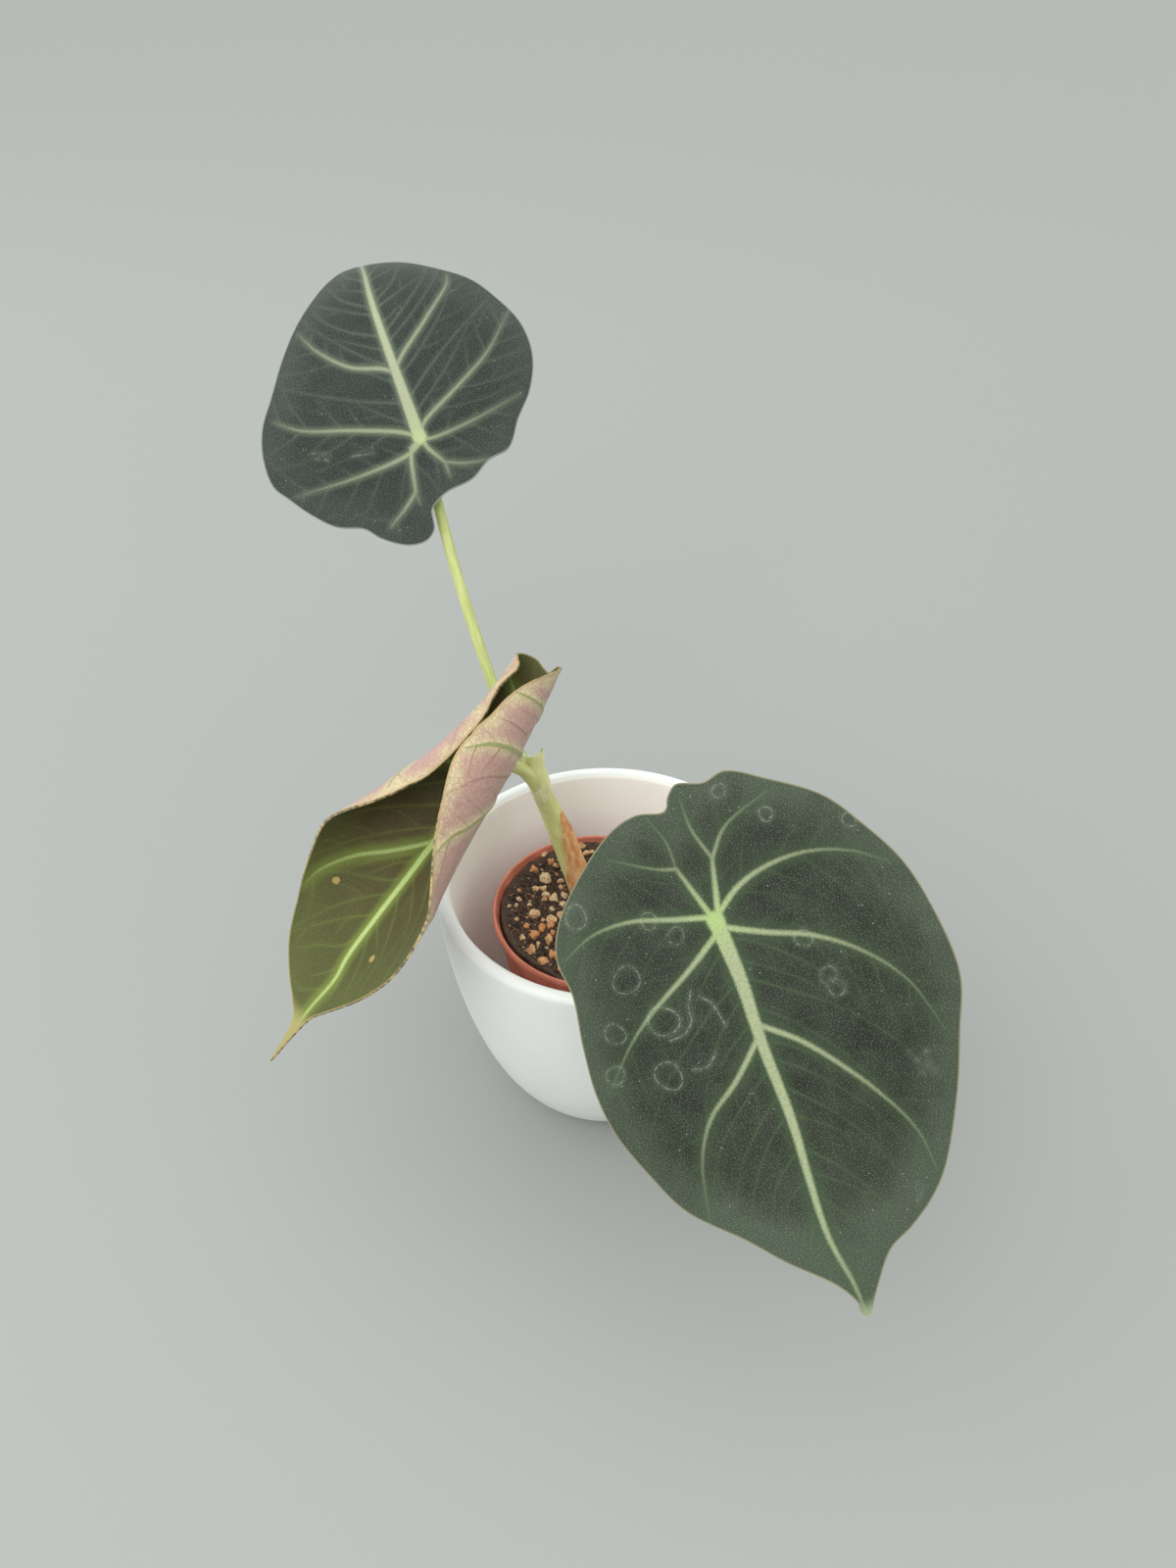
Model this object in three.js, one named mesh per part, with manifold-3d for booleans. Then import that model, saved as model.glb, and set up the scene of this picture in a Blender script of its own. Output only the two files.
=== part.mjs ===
// Potted black velvet alocasia: three leaves on one short rhizome, rooted in a small nursery pot
// that stands inside a larger round cover pot. Millimetres, +Z up.
// The origin is the centre of the cover pot's flat base. +X is right and -Y is towards the viewer.
import * as THREE from 'three';
import { mergeVertices } from 'three/addons/utils/BufferGeometryUtils.js';
import Module from 'manifold-3d';

const wasm = await Module();
wasm.setup();

// Driving sizes
const FIT_GAP = 0.3;

const COVER_POT = {
  height: 76,
  rimRadius: 47,
  baseRadius: 24,
  wall: 3.9,
  floor: 6,
  bulge: 1.72,
  segments: 40,
};

const NURSERY_POT = {
  rimRadius: 30,
  baseRadius: 21,
  height: 56.7,
  wall: 1.2,
  rollRadius: 1.4,
  floor: 1.6,
  holeRadius: 2,
  holeCircle: 12,
  holeCount: 4,
  offsetX: -2.3,
  segments: 36,
};

const SOIL = {
  top: 59.4,
  bump: 0.5,
  rings: 5,
  lumpCount: 32,
  lumpRadius: [1.0, 1.8],
  lumpSunk: 0.35,
  lumpReach: 24.6,
  clearOfStem: 9,
  seed: 11,
};

const RHIZOME = { x: -6, y: 11.5, top: 56, length: 21, radius: 8.3, crownRadius: 7.6 };

// A blade's midrib is worked out over this stretch of u, and its bow and wave are the height
// reached at these distances from the attachment.
const MIDRIB_STRETCH = [-48, 108];
const BOW_REACH = 50;
const WAVE_REACH = 40;
const RING_GROWTH = 0.9;
const CROSS_STEPS = 12;

const BLADE_THICKNESS = 0.7;
const RIB_SIDES = 3;
const HUB = { radius: 1.7, depth: 1.2 };
const STALK_SIDES = 10;
const STALK_END = 3;

// Each leaf is drawn flat, in leaf millimetres, and then bent into its real shape.
// u runs from the stalk's attachment along the midrib to the tip, v runs across, to the right of
// someone who looks at the upper face with the tip pointing away from them.
// bend droops the midrib and curl rolls each half towards the upper face, both in radians per mm.
// open is the angle at which a half leaves the midrib, and rim is extra curl that grows outward.
const LEAF_FRONT = {
  attachment: [21.6, -58.6, 117.1],
  along: [0.344, -0.694, -0.632],
  up: [-0.106, -0.697, 0.709],
  bow: 0,
  bend: [[-45, 0.0022], [110, 0.0022]],
  minus: { open: [[0, -0.02]], curl: [[0, -0.0025]], rim: 0 },
  plus: { open: [[0, -0.1]], curl: [[0, -0.006]], rim: 0 },
  wave: { height: 0.9, count: 5, phase: 0.6 },
  rings: 4,
  ribStep: 9,
  outline: [
    [-25.7, 2], [-28.5, 0.2], [-30.4, -2.3], [-28.7, -8], [-29.5, -13.2], [-24.5, -21.3],
    [-17, -31.2], [-9, -36.6], [1.5, -41.8], [13, -43.9], [28, -44], [39, -39.8], [52, -34.5],
    [66, -26.6], [71, -21.4], [74.3, -15.7], [76.7, -9.7], [82.7, -4.2], [86.9, -0.7],
    [86.4, 0.5], [84, 0.6], [79, 3.4], [71, 12], [65, 18], [56.4, 28.6], [48, 33.5],
    [37.4, 37.9], [27.5, 39.1], [16, 37.9], [5, 36], [-4, 36.7], [-12, 32.8],
    [-21.3, 22.3], [-26.2, 13.6], [-27.1, 8],
  ],
  ribs: [
    { width: [1.1, 0.35], through: [[0, 0], [22, -0.6], [44, 0], [66, 1.4], [84, 0]] },
    { width: [0.7, 0.3], through: [[-1, -1], [-6, -10], [-7, -20], [-4, -32], [0, -39]] },
    { width: [0.7, 0.3], through: [[1, -1], [6, -9], [13, -22], [22, -32], [35, -36]] },
    { width: [0.7, 0.3], through: [[22, -0.6], [34, -12], [48, -21], [62, -25]] },
    { width: [0.7, 0.3], through: [[-1, 1], [-4, 11], [-7, 21], [-4, 33]] },
    { width: [0.7, 0.3], through: [[3, 0], [8, 9], [16, 23], [25, 33]] },
    { width: [0.7, 0.3], through: [[25, 0], [36, 12], [46, 21], [56, 24]] },
    { width: [0.7, 0.4], through: [[0, 0], [-10, 3], [-16, 9], [-20, 16]] },
    { width: [0.7, 0.4], through: [[0, -1], [-11, -3.6], [-18, -9], [-22, -17]] },
  ],
};

const LEAF_ROLLED = {
  attachment: [-27.4, 1.7, 114.1],
  along: [-0.569, -0.546, -0.615],
  up: [-0.635, -0.184, 0.75],
  bow: 0.5,
  bend: [[-25, -0.008], [0, -0.006], [45, 0.003], [95, -0.006]],
  minus: {
    open: [[-30, 0.05], [95, -0.16]],
    curl: [[-25, 0.098], [0, 0.046], [20, 0.029], [40, 0.012], [60, 0.007]],
    rim: 1.9e-5,
  },
  plus: {
    open: [[0, 0.03]],
    curl: [[-25, 0.184], [0, 0.138], [20, 0.101], [40, 0.074], [60, 0.054], [85, 0.052]],
    rim: 0,
  },
  wave: { height: 0, count: 5, phase: 0 },
  rings: 8,
  ribStep: 3,
  outline: [
    [-24.7, 1], [-27, -1.5], [-26.6, -7], [-24.2, -12.3], [-20, -17.8], [-14.5, -22.5],
    [-7, -27.5], [0, -33.2], [8, -36.2], [18, -36.6], [27, -36.2], [36, -33.8], [44, -30.4],
    [57, -23.3], [67, -15.9], [76.6, -7.2], [80, -4.5], [87, -3.4], [94.2, -3.3],
    [88.4, -1.5], [84, 0.3], [80.7, 5.2], [77.8, 9.6], [73.4, 14.1], [68.2, 17.7],
    [57.5, 22.4], [46.4, 27], [37, 33], [30, 35.6], [18, 34], [10.8, 30.7], [2, 26.6],
    [-6.3, 23.4], [-15.4, 19], [-22.6, 19], [-25.6, 13], [-26.5, 6], [-25.3, 3.2],
  ],
  ribs: [
    { width: [1.1, 0.35], through: [[0, 0], [30, 0.2], [50, -0.5], [70, -2.4], [90, -2.4]] },
    { width: [0.6, 0.3], through: [[-2, -1], [-8, -9], [-10, -19], [-8, -25]] },
    { width: [0.6, 0.3], through: [[-1, -1], [-3, -14], [-1, -26], [5, -33]] },
    { width: [0.6, 0.3], through: [[5, 0], [12, -16], [20, -28], [26, -33]] },
    { width: [0.6, 0.3], through: [[27, 0], [37, -10], [50, -20], [60, -20]] },
    { width: [0.6, 0.3], through: [[-1, 1], [-4, 10], [-7, 21]] },
    { width: [0.6, 0.3], through: [[3, 0], [8, 10], [15, 22], [24, 32]] },
    { width: [0.6, 0.3], through: [[27, 0.4], [37, 10], [47, 19], [54, 22]] },
    { width: [0.6, 0.4], through: [[0, -1], [-10, -4], [-16, -12], [-17, -19]] },
    { width: [0.6, 0.4], through: [[0, 0], [-10, 3], [-17, 8], [-21, 14]] },
  ],
};

const LEAF_UPPER = {
  attachment: [-49.8, 63.7, 172.6],
  along: [-0.343, 0.582, 0.737],
  up: [0, -0.72, 0.69],
  bow: 0,
  bend: [[-45, 0.005], [0, 0.0062], [110, 0.0403]],
  minus: { open: [[0, -0.03]], curl: [[0, -0.002]], rim: 0 },
  plus: { open: [[0, -0.05]], curl: [[0, -0.003]], rim: 0 },
  wave: { height: 0.8, count: 5, phase: 2 },
  rings: 4,
  ribStep: 9,
  outline: [
    [-15.6, 2], [-17.2, -1.6], [-18.6, -3.4], [-23.5, -4.6], [-25.7, -7.6], [-25.3, -12.6],
    [-21.3, -18.8], [-17.4, -22.2], [-14.3, -29], [-8.6, -34.5], [-3.1, -38.3], [1.2, -41],
    [9, -41.1], [17.3, -38.7], [25.6, -33.9], [36.6, -28], [46.2, -21.8], [55.9, -13.9],
    [66, -6.4], [76, -1.6], [83, 0], [76, 3.6], [70, 8.4], [64, 13.4], [57.3, 18.7],
    [46, 27.5], [33.8, 32.6], [21.9, 36.3], [12, 36.1], [3.3, 32.2], [-3.2, 26.5],
    [-9.8, 21.5], [-11.2, 15.4], [-14.6, 9.3],
  ],
  ribs: [
    { width: [1.1, 0.35], through: [[0, 0], [20, 0], [40, 0.2], [60, 1], [80, 0.4]] },
    { width: [0.7, 0.3], through: [[20, 0], [27, -13], [34, -18], [42, -21]] },
    { width: [0.7, 0.3], through: [[1, -1], [8, -16], [13, -29], [19, -34]] },
    { width: [0.7, 0.3], through: [[-1, -1], [-4, -13], [-4, -25], [-3, -35]] },
    { width: [0.7, 0.3], through: [[21, 0], [32, 12], [44, 21], [50, 22]] },
    { width: [0.7, 0.3], through: [[2, 1], [10, 14], [17, 25], [26, 33]] },
    { width: [0.7, 0.3], through: [[0, 1], [-1, 10], [0, 19], [3, 28]] },
    { width: [0.7, 0.4], through: [[0, -1], [-7, -5], [-13, -6], [-18, -13]] },
    { width: [0.7, 0.4], through: [[0, 0], [-8, 4], [-11, 15]] },
  ],
};

// The stalks leave the rhizome's crown. Their points are the middle of the stalk, foot first, and
// each stalk ends just under its blade. tail is how far the last stretch leans towards the lobes.
const STALK_FRONT = {
  points: [[-1.9, 7.2, 56.3], [0.2, 2, 72], [8, -22, 97], [15, -40, 108.5]],
  radii: [1.8, 1.5, 1.4],
  steps: 14,
  tail: 0,
};

const STALK_UPPER = {
  points: [[-10.2, 15.9, 56.3], [-17.2, 21, 78], [-27.8, 30, 104], [-38, 43, 132], [-45, 56.6, 153.2]],
  radii: [1.6, 1.5, 1.35],
  steps: 20,
  tail: 2.5,
};

const STALK_ROLLED = {
  points: [[-16.2, 8.6, 95], [-18.4, 7.5, 101], [-21.8, 5, 107.5]],
  radii: [1.6, 1.5, 1.45],
  steps: 9,
  tail: 0,
};

// Swollen sheath round the stem, and its free tip
const SHEATH = {
  points: [[-7.2, 11.2, 56.3], [-12.5, 9.6, 82.3], [-15.7, 8.7, 93], [-17.3, 8.2, 99.5]],
  radii: [3.4, 3.3, 3.1, 2.7],
  steps: 10,
  tipPoints: [[-15.8, 8.8, 94], [-16.6, 9, 103], [-17.2, 9, 111.6]],
  tipRadii: [2.4, 1.7, 0.5],
  tipSteps: 6,
};

const DRY_SHEATH = {
  gap: 0.6,
  thickness: 0.6,
  height: 31,
  footFrom: -175,
  footTo: 40,
  topAngle: -35,
  topHalfAngle: 8,
  rows: 9,
  columns: 10,
};

// Materials
const paint = (color, roughness) => new THREE.MeshStandardMaterial({ color, roughness, metalness: 0 });
const GLAZE = paint(0xf0eee8, 0.55);
const RED_PLASTIC = paint(0xb5553a, 0.6);
const POTTING_MIX = paint(0x3a2f28, 0.95);
const DARK_VELVET = paint(0x33402f, 0.85);
const YOUNG_VELVET = paint(0x4a5a2c, 0.8);
const STALK_GREEN = paint(0xaebc6c, 0.5);
const DRY_BROWN = paint(0xc08348, 0.8);
const RHIZOME_BROWN = paint(0x8a6a48, 0.8);

const UP = new THREE.Vector3(0, 0, 1);
const vector = (values) => new THREE.Vector3(...values);

// Value of a list of [position, value] pairs at a position, straight between pairs
function along(pairs, position) {
  if (position <= pairs[0][0]) return pairs[0][1];
  for (let i = 1; i < pairs.length; i += 1) {
    const [x0, y0] = pairs[i - 1];
    const [x1, y1] = pairs[i];
    if (position <= x1) return y0 + ((y1 - y0) * (position - x0)) / (x1 - x0);
  }
  return pairs[pairs.length - 1][1];
}

// Value of evenly spaced numbers at a share of the way through them
function spread(values, share) {
  const place = share * (values.length - 1);
  const first = Math.min(Math.floor(place), values.length - 2);
  return THREE.MathUtils.lerp(values[first], values[first + 1], place - first);
}

// Same random numbers on every run
function seededRandom(seed) {
  let state = seed;
  return () => {
    state = (state * 1664525 + 1013904223) % 4294967296;
    return state / 4294967296;
  };
}

// Closed solid from a geometry whose faces may be turned inside out
function solidOf(geometry) {
  const bare = geometry.clone();
  bare.deleteAttribute('normal');
  bare.deleteAttribute('uv');
  const merged = mergeVertices(bare, 1e-4);
  const positions = merged.attributes.position;
  const corners = [];
  let volume = 0;
  for (let i = 0; i < merged.index.count; i += 3) {
    const [a, b, c] = [0, 1, 2].map((k) => merged.index.getX(i + k));
    if (a === b || b === c || c === a) continue;
    corners.push(a, b, c);
    const [pa, pb, pc] = [a, b, c].map((k) => new THREE.Vector3().fromBufferAttribute(positions, k));
    volume += pa.dot(pb.cross(pc));
  }
  if (volume < 0) corners.reverse();
  return new wasm.Manifold(new wasm.Mesh({
    numProp: 3,
    vertProperties: new Float32Array(positions.array),
    triVerts: new Uint32Array(corners),
  }));
}

function geometryOf(solid) {
  const mesh = solid.getMesh();
  const geometry = new THREE.BufferGeometry();
  geometry.setAttribute('position', new THREE.BufferAttribute(new Float32Array(mesh.vertProperties), 3));
  geometry.setIndex(new THREE.BufferAttribute(new Uint32Array(mesh.triVerts), 1));
  return geometry;
}

// Skin over rings of points, each ring as long as the next, closed at both ends
function loft(rings) {
  const count = rings[0].length;
  const vertices = rings.flat();
  const corners = [];
  for (let r = 0; r + 1 < rings.length; r += 1) {
    for (let i = 0; i < count; i += 1) {
      const next = (i + 1) % count;
      const [a, b] = [r * count + i, r * count + next];
      corners.push(a, b, b + count, a, b + count, a + count);
    }
  }
  const middle = (ring) => ring.reduce((sum, p) => sum.add(p), new THREE.Vector3()).divideScalar(count);
  const last = rings.length - 1;
  vertices.push(middle(rings[0]), middle(rings[last]));
  for (let i = 0; i < count; i += 1) {
    const next = (i + 1) % count;
    corners.push(rings.length * count, next, i);
    corners.push(rings.length * count + 1, last * count + i, last * count + next);
  }
  const geometry = new THREE.BufferGeometry();
  const flat = vertices.flatMap((p) => p.toArray());
  geometry.setAttribute('position', new THREE.Float32BufferAttribute(flat, 3));
  geometry.setIndex(corners);
  return geometry;
}

// Tapered round stalk through points. grow widens it, and footUp and endUp turn its first and last
// rings square to a direction.
function stalk(points, radii, steps, { grow = 0, sides = STALK_SIDES, footUp = null, endUp = null } = {}) {
  const curve = new THREE.CatmullRomCurve3(points, false, 'centripetal');
  const frames = curve.computeFrenetFrames(steps, false);
  const rings = [];
  for (let s = 0; s <= steps; s += 1) {
    const middle = curve.getPointAt(s / steps);
    const radius = spread(radii, s / steps) + grow;
    const across = frames.normals[s].clone();
    const over = frames.binormals[s].clone();
    const turned = (s === 0 && footUp) || (s === steps && endUp);
    if (turned) {
      across.addScaledVector(turned, -across.dot(turned)).normalize();
      over.crossVectors(turned, across);
    }
    rings.push(Array.from({ length: sides }, (_, i) => {
      const turn = (2 * Math.PI * i) / sides;
      return middle.clone()
        .addScaledVector(across, radius * Math.cos(turn))
        .addScaledVector(over, radius * Math.sin(turn));
    }));
  }
  return loft(rings);
}

function lathe(profile, segments, axisX = 0, axisY = 0) {
  const points = profile.map(([radius, z]) => new THREE.Vector2(radius, z));
  const geometry = new THREE.LatheGeometry(points, segments);
  geometry.rotateX(Math.PI / 2);
  geometry.translate(axisX, axisY, 0);
  return geometry;
}

// Pots
function coverPotRadius(z) {
  const { baseRadius, rimRadius, height, bulge } = COVER_POT;
  const rise = 1 - Math.pow(1 - z / height, bulge);
  return baseRadius + (rimRadius - baseRadius) * Math.pow(rise, 1 / bulge);
}

function coverPot() {
  const { height, rimRadius, baseRadius, wall, floor, segments } = COVER_POT;
  const lip = wall / 2;
  const outer = [1.2, 4, 9, 16, 26, 38, 51, 64].map((z) => [coverPotRadius(z), z]);
  const inner = outer.filter(([, z]) => z > floor + 5).map(([radius, z]) => [radius - wall, z]);
  const lipArc = [0, 45, 90, 135, 180].map((degrees) => {
    const turn = THREE.MathUtils.degToRad(degrees);
    return [rimRadius - lip + lip * Math.cos(turn), height - lip + lip * Math.sin(turn)];
  });
  const cornerRadius = coverPotRadius(floor) - wall;
  const profile = [[0, 0], [baseRadius, 0], ...outer, ...lipArc, ...inner.reverse()];
  profile.push([cornerRadius + 2, floor + 2.5], [cornerRadius - 3, floor], [0, floor]);
  return solidOf(lathe(profile, segments));
}

// The nursery pot's inner wall, radius at a height above its base
function nurseryInside(z) {
  const { rimRadius, rollRadius, baseRadius, height, wall } = NURSERY_POT;
  const outer = THREE.MathUtils.lerp(baseRadius, rimRadius - rollRadius, z / height);
  return outer - wall;
}

const NURSERY_BASE_Z = COVER_POT.floor + FIT_GAP;

function nurseryPot() {
  const { height, wall, rollRadius, floor, holeRadius, holeCircle, holeCount, offsetX, segments } = NURSERY_POT;
  const at = (z) => nurseryInside(z) + wall;
  const rollMiddle = [at(height), height - rollRadius];
  const roll = [-60, 0, 50, 100, 150].map((degrees) => {
    const turn = THREE.MathUtils.degToRad(degrees);
    return [rollMiddle[0] + rollRadius * Math.cos(turn), rollMiddle[1] + rollRadius * Math.sin(turn)];
  });
  const profile = [[0, 0], [at(0) - 1, 0], [at(1), 1], [at(28), 28], [at(48) + 0.1, 48]];
  profile.push(...roll, [nurseryInside(height - 4), height - 4]);
  profile.push([nurseryInside(floor + 1), floor + 1], [nurseryInside(floor) - 1, floor], [0, floor]);
  let pot = solidOf(lathe(profile, segments, offsetX, 0).translate(0, 0, NURSERY_BASE_Z));
  for (let i = 0; i < holeCount; i += 1) {
    const turn = (2 * Math.PI * (i + 0.5)) / holeCount;
    const hole = new THREE.CylinderGeometry(holeRadius, holeRadius, 4 * floor, 12);
    hole.rotateX(Math.PI / 2);
    hole.translate(offsetX + holeCircle * Math.cos(turn), holeCircle * Math.sin(turn), NURSERY_BASE_Z);
    pot = pot.subtract(solidOf(hole));
  }
  return pot;
}

// Leaves
function leafFrame(leaf) {
  const forward = vector(leaf.along).normalize();
  const up = vector(leaf.up);
  up.addScaledVector(forward, -up.dot(forward)).normalize();
  return { forward, up, right: new THREE.Vector3().crossVectors(forward, up) };
}

// Point of a leaf's middle surface over its flat place
function leafSurface(leaf) {
  const origin = vector(leaf.attachment);
  const { forward, up, right } = leafFrame(leaf);
  const [first, last] = MIDRIB_STRETCH;
  const spine = [];
  let turned = 0;
  let ahead = 0;
  let down = 0;
  for (let u = first; u <= last; u += 1) {
    spine.push({ turned, ahead, down });
    const middle = turned + along(leaf.bend, u + 0.5) / 2;
    ahead += Math.cos(middle);
    down += Math.sin(middle);
    turned += along(leaf.bend, u + 0.5);
  }
  const zero = spine[-first];
  const offset = { x: zero.ahead, z: zero.down, turned: zero.turned };
  const local = spine.map((s) => {
    const c = Math.cos(-offset.turned);
    const n = Math.sin(-offset.turned);
    const [x, z] = [s.ahead - offset.x, s.down - offset.z];
    return { turned: s.turned - offset.turned, ahead: x * c - z * n, down: x * n + z * c };
  });
  return (u, v) => {
    const place = THREE.MathUtils.clamp(u - first, 0, local.length - 2);
    const [a, b] = [local[Math.floor(place)], local[Math.floor(place) + 1]];
    const share = place - Math.floor(place);
    const angle = THREE.MathUtils.lerp(a.turned, b.turned, share);
    const sway = Math.atan((2 * leaf.bow * u) / BOW_REACH ** 2);
    const middle = origin.clone()
      .addScaledVector(forward, THREE.MathUtils.lerp(a.ahead, b.ahead, share))
      .addScaledVector(up, -THREE.MathUtils.lerp(a.down, b.down, share))
      .addScaledVector(right, leaf.bow * (u / BOW_REACH) ** 2);
    const ahead2 = forward.clone().multiplyScalar(Math.cos(angle)).addScaledVector(up, -Math.sin(angle));
    const normal = up.clone().multiplyScalar(Math.cos(angle)).addScaledVector(forward, Math.sin(angle));
    const across = right.clone().multiplyScalar(Math.cos(sway)).addScaledVector(ahead2, -Math.sin(sway));
    const lift = leaf.wave.height * ((u * u + v * v) / WAVE_REACH ** 2)
      * Math.sin(leaf.wave.count * Math.atan2(v, u) + leaf.wave.phase);
    const side = v < 0 ? leaf.minus : leaf.plus;
    const reach = Math.abs(v);
    const step = reach / CROSS_STEPS;
    let sideways = 0;
    let raised = 0;
    for (let s = 0; s < CROSS_STEPS; s += 1) {
      const t = step * (s + 0.5);
      const tilt = along(side.open, u) + along(side.curl, u) * t + side.rim * t ** 3;
      sideways += step * Math.cos(tilt);
      raised += step * Math.sin(tilt);
    }
    return middle.addScaledVector(across, Math.sign(v) * sideways).addScaledVector(normal, raised + lift);
  };
}

// Unit normal of the upper face
function faceNormal(surface, u, v) {
  const step = 0.05;
  const du = surface(u + step, v).sub(surface(u - step, v));
  const dv = surface(u, v + step).sub(surface(u, v - step));
  return du.cross(dv).normalize();
}

function flatCurve(points, closed) {
  return new THREE.CatmullRomCurve3(points.map(([u, v]) => new THREE.Vector3(u, v, 0)), closed, 'centripetal');
}

// Flat places and triangles of a blade: the attachment, then rings of its outline that grow from
// there. Only the outermost ring has a place between each two outline points.
function bladeGrid(leaf) {
  const outline = flatCurve(leaf.outline, true);
  const spokes = leaf.outline.length;
  const ring = (count, share) => Array.from({ length: count }, (_, s) => {
    const edge = outline.getPoint(s / count);
    return [edge.x * share, edge.y * share];
  });
  const places = [[0, 0]];
  for (let r = 1; r < leaf.rings; r += 1) places.push(...ring(spokes, (r / leaf.rings) ** RING_GROWTH));
  const rim = places.length;
  places.push(...ring(2 * spokes, 1));
  const triangles = [];
  for (let s = 0; s < spokes; s += 1) {
    const next = (s + 1) % spokes;
    triangles.push([0, 1 + s, 1 + next]);
    for (let r = 0; r + 2 < leaf.rings; r += 1) {
      const [a, b] = [1 + r * spokes + s, 1 + r * spokes + next];
      triangles.push([a, a + spokes, b + spokes], [a, b + spokes, b]);
    }
    const [a, b] = [rim - spokes + s, rim - spokes + next];
    const [c, d, e] = [rim + 2 * s, rim + 2 * s + 1, rim + 2 * next];
    triangles.push([a, c, d], [a, d, b], [b, d, e]);
  }
  const surface = leafSurface(leaf);
  const middle = places.map(([u, v]) => surface(u, v));
  const normals = places.map(([u, v]) => faceNormal(surface, u, v));
  return { rim, places, triangles, middle, normals };
}

// Thin blade with the same triangles on both faces
function blade({ rim, places, triangles, middle, normals }) {
  const half = BLADE_THICKNESS / 2;
  const count = places.length;
  const faces = [half, -half].flatMap((offset) => middle.map((p, i) => (
    p.clone().addScaledVector(normals[i], offset))));
  const corners = triangles.flatMap(([a, b, c]) => [a, b, c, a + count, c + count, b + count]);
  for (let a = rim; a < count; a += 1) {
    const b = a + 1 < count ? a + 1 : rim;
    corners.push(a, a + count, b + count, a, b + count, b);
  }
  const geometry = new THREE.BufferGeometry();
  geometry.setAttribute('position', new THREE.Float32BufferAttribute(faces.flatMap((p) => p.toArray()), 3));
  geometry.setIndex(corners);
  return solidOf(geometry);
}

// Point at a depth under the faceted blade's middle, over a flat place
function underBlade({ places, triangles, middle, normals }, u, v, depth) {
  let best = { inside: -Infinity };
  for (const [a, b, c] of triangles) {
    const [[ua, va], [ub, vb], [uc, vc]] = [places[a], places[b], places[c]];
    const area = (ub - ua) * (vc - va) - (uc - ua) * (vb - va);
    const shareB = ((u - ua) * (vc - va) - (uc - ua) * (v - va)) / area;
    const shareC = ((ub - ua) * (v - va) - (u - ua) * (vb - va)) / area;
    const shares = [1 - shareB - shareC, shareB, shareC];
    const inside = Math.min(...shares);
    if (inside > best.inside) best = { inside, corners: [a, b, c], shares };
  }
  const point = new THREE.Vector3();
  const normal = new THREE.Vector3();
  best.corners.forEach((corner, k) => {
    point.addScaledVector(middle[corner], best.shares[k]);
    normal.addScaledVector(normals[corner], best.shares[k]);
  });
  return point.addScaledVector(normal.normalize(), -depth);
}

// Raised vein under the blade, a slim tube half sunk in it
function rib(leaf, grid, { width, through }) {
  const path = flatCurve(through, false);
  const steps = Math.ceil(path.getLength() / leaf.ribStep);
  const points = Array.from({ length: steps + 1 }, (_, s) => {
    const { x, y } = path.getPointAt(s / steps);
    return underBlade(grid, x, y, BLADE_THICKNESS / 2);
  });
  return solidOf(stalk(points, width, steps, { sides: RIB_SIDES }));
}

// Short boss under the attachment, which the stalk meets
function hub(leaf) {
  const { up } = leafFrame(leaf);
  const from = vector(leaf.attachment);
  const to = from.clone().addScaledVector(up, -(BLADE_THICKNESS / 2 + HUB.depth));
  return solidOf(stalk([from, to], [HUB.radius, HUB.radius], 1, { endUp: up.clone().negate() }));
}

function leafSolid(leaf) {
  const grid = bladeGrid(leaf);
  const start = blade(grid).add(hub(leaf));
  return leaf.ribs.reduce((solid, vein) => solid.add(rib(leaf, grid, vein)), start);
}

// Stalk from its foot to just under its blade
function leafStalk(leaf, { points, radii, steps, tail }) {
  const { forward, up } = leafFrame(leaf);
  const end = vector(leaf.attachment)
    .addScaledVector(up, -(BLADE_THICKNESS / 2 + HUB.depth + FIT_GAP));
  const before = end.clone().addScaledVector(up, -STALK_END).addScaledVector(forward, -tail);
  const path = [...points.map(vector), before, end];
  return solidOf(stalk(path, radii, steps, { footUp: UP, endUp: up }));
}

function sheath() {
  const { points, radii, steps, tipPoints, tipRadii, tipSteps } = SHEATH;
  const body = solidOf(stalk(points.map(vector), radii, steps, { footUp: UP }));
  return body.add(solidOf(stalk(tipPoints.map(vector), tipRadii, tipSteps)));
}

// Papery sheath: a thin shell round the front of the stem's foot, which narrows to a point
function drySheath() {
  const { gap, thickness, height, footFrom, footTo, topAngle, topHalfAngle, rows, columns } = DRY_SHEATH;
  const axis = new THREE.CatmullRomCurve3(SHEATH.points.map(vector), false, 'centripetal');
  const rise = SHEATH.points[SHEATH.points.length - 1][2] - SHEATH.points[0][2];
  const rings = [];
  for (let r = 0; r <= rows; r += 1) {
    const share = r / rows;
    const reach = (share * height) / rise;
    const middle = axis.getPointAt(reach);
    const inner = spread(SHEATH.radii, reach) + gap;
    const narrow = Math.pow(share, 0.8);
    const from = THREE.MathUtils.lerp(footFrom, topAngle - topHalfAngle, narrow);
    const to = THREE.MathUtils.lerp(footTo, topAngle + topHalfAngle, narrow);
    const arc = (radius, reversed) => Array.from({ length: columns + 1 }, (_, i) => {
      const place = reversed ? 1 - i / columns : i / columns;
      const turn = THREE.MathUtils.degToRad(THREE.MathUtils.lerp(from, to, place));
      return new THREE.Vector3(radius * Math.cos(turn), radius * Math.sin(turn), 0).add(middle);
    });
    rings.push([...arc(inner, false), ...arc(inner + thickness, true)]);
  }
  return solidOf(skin(rings, columns));
}

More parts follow.
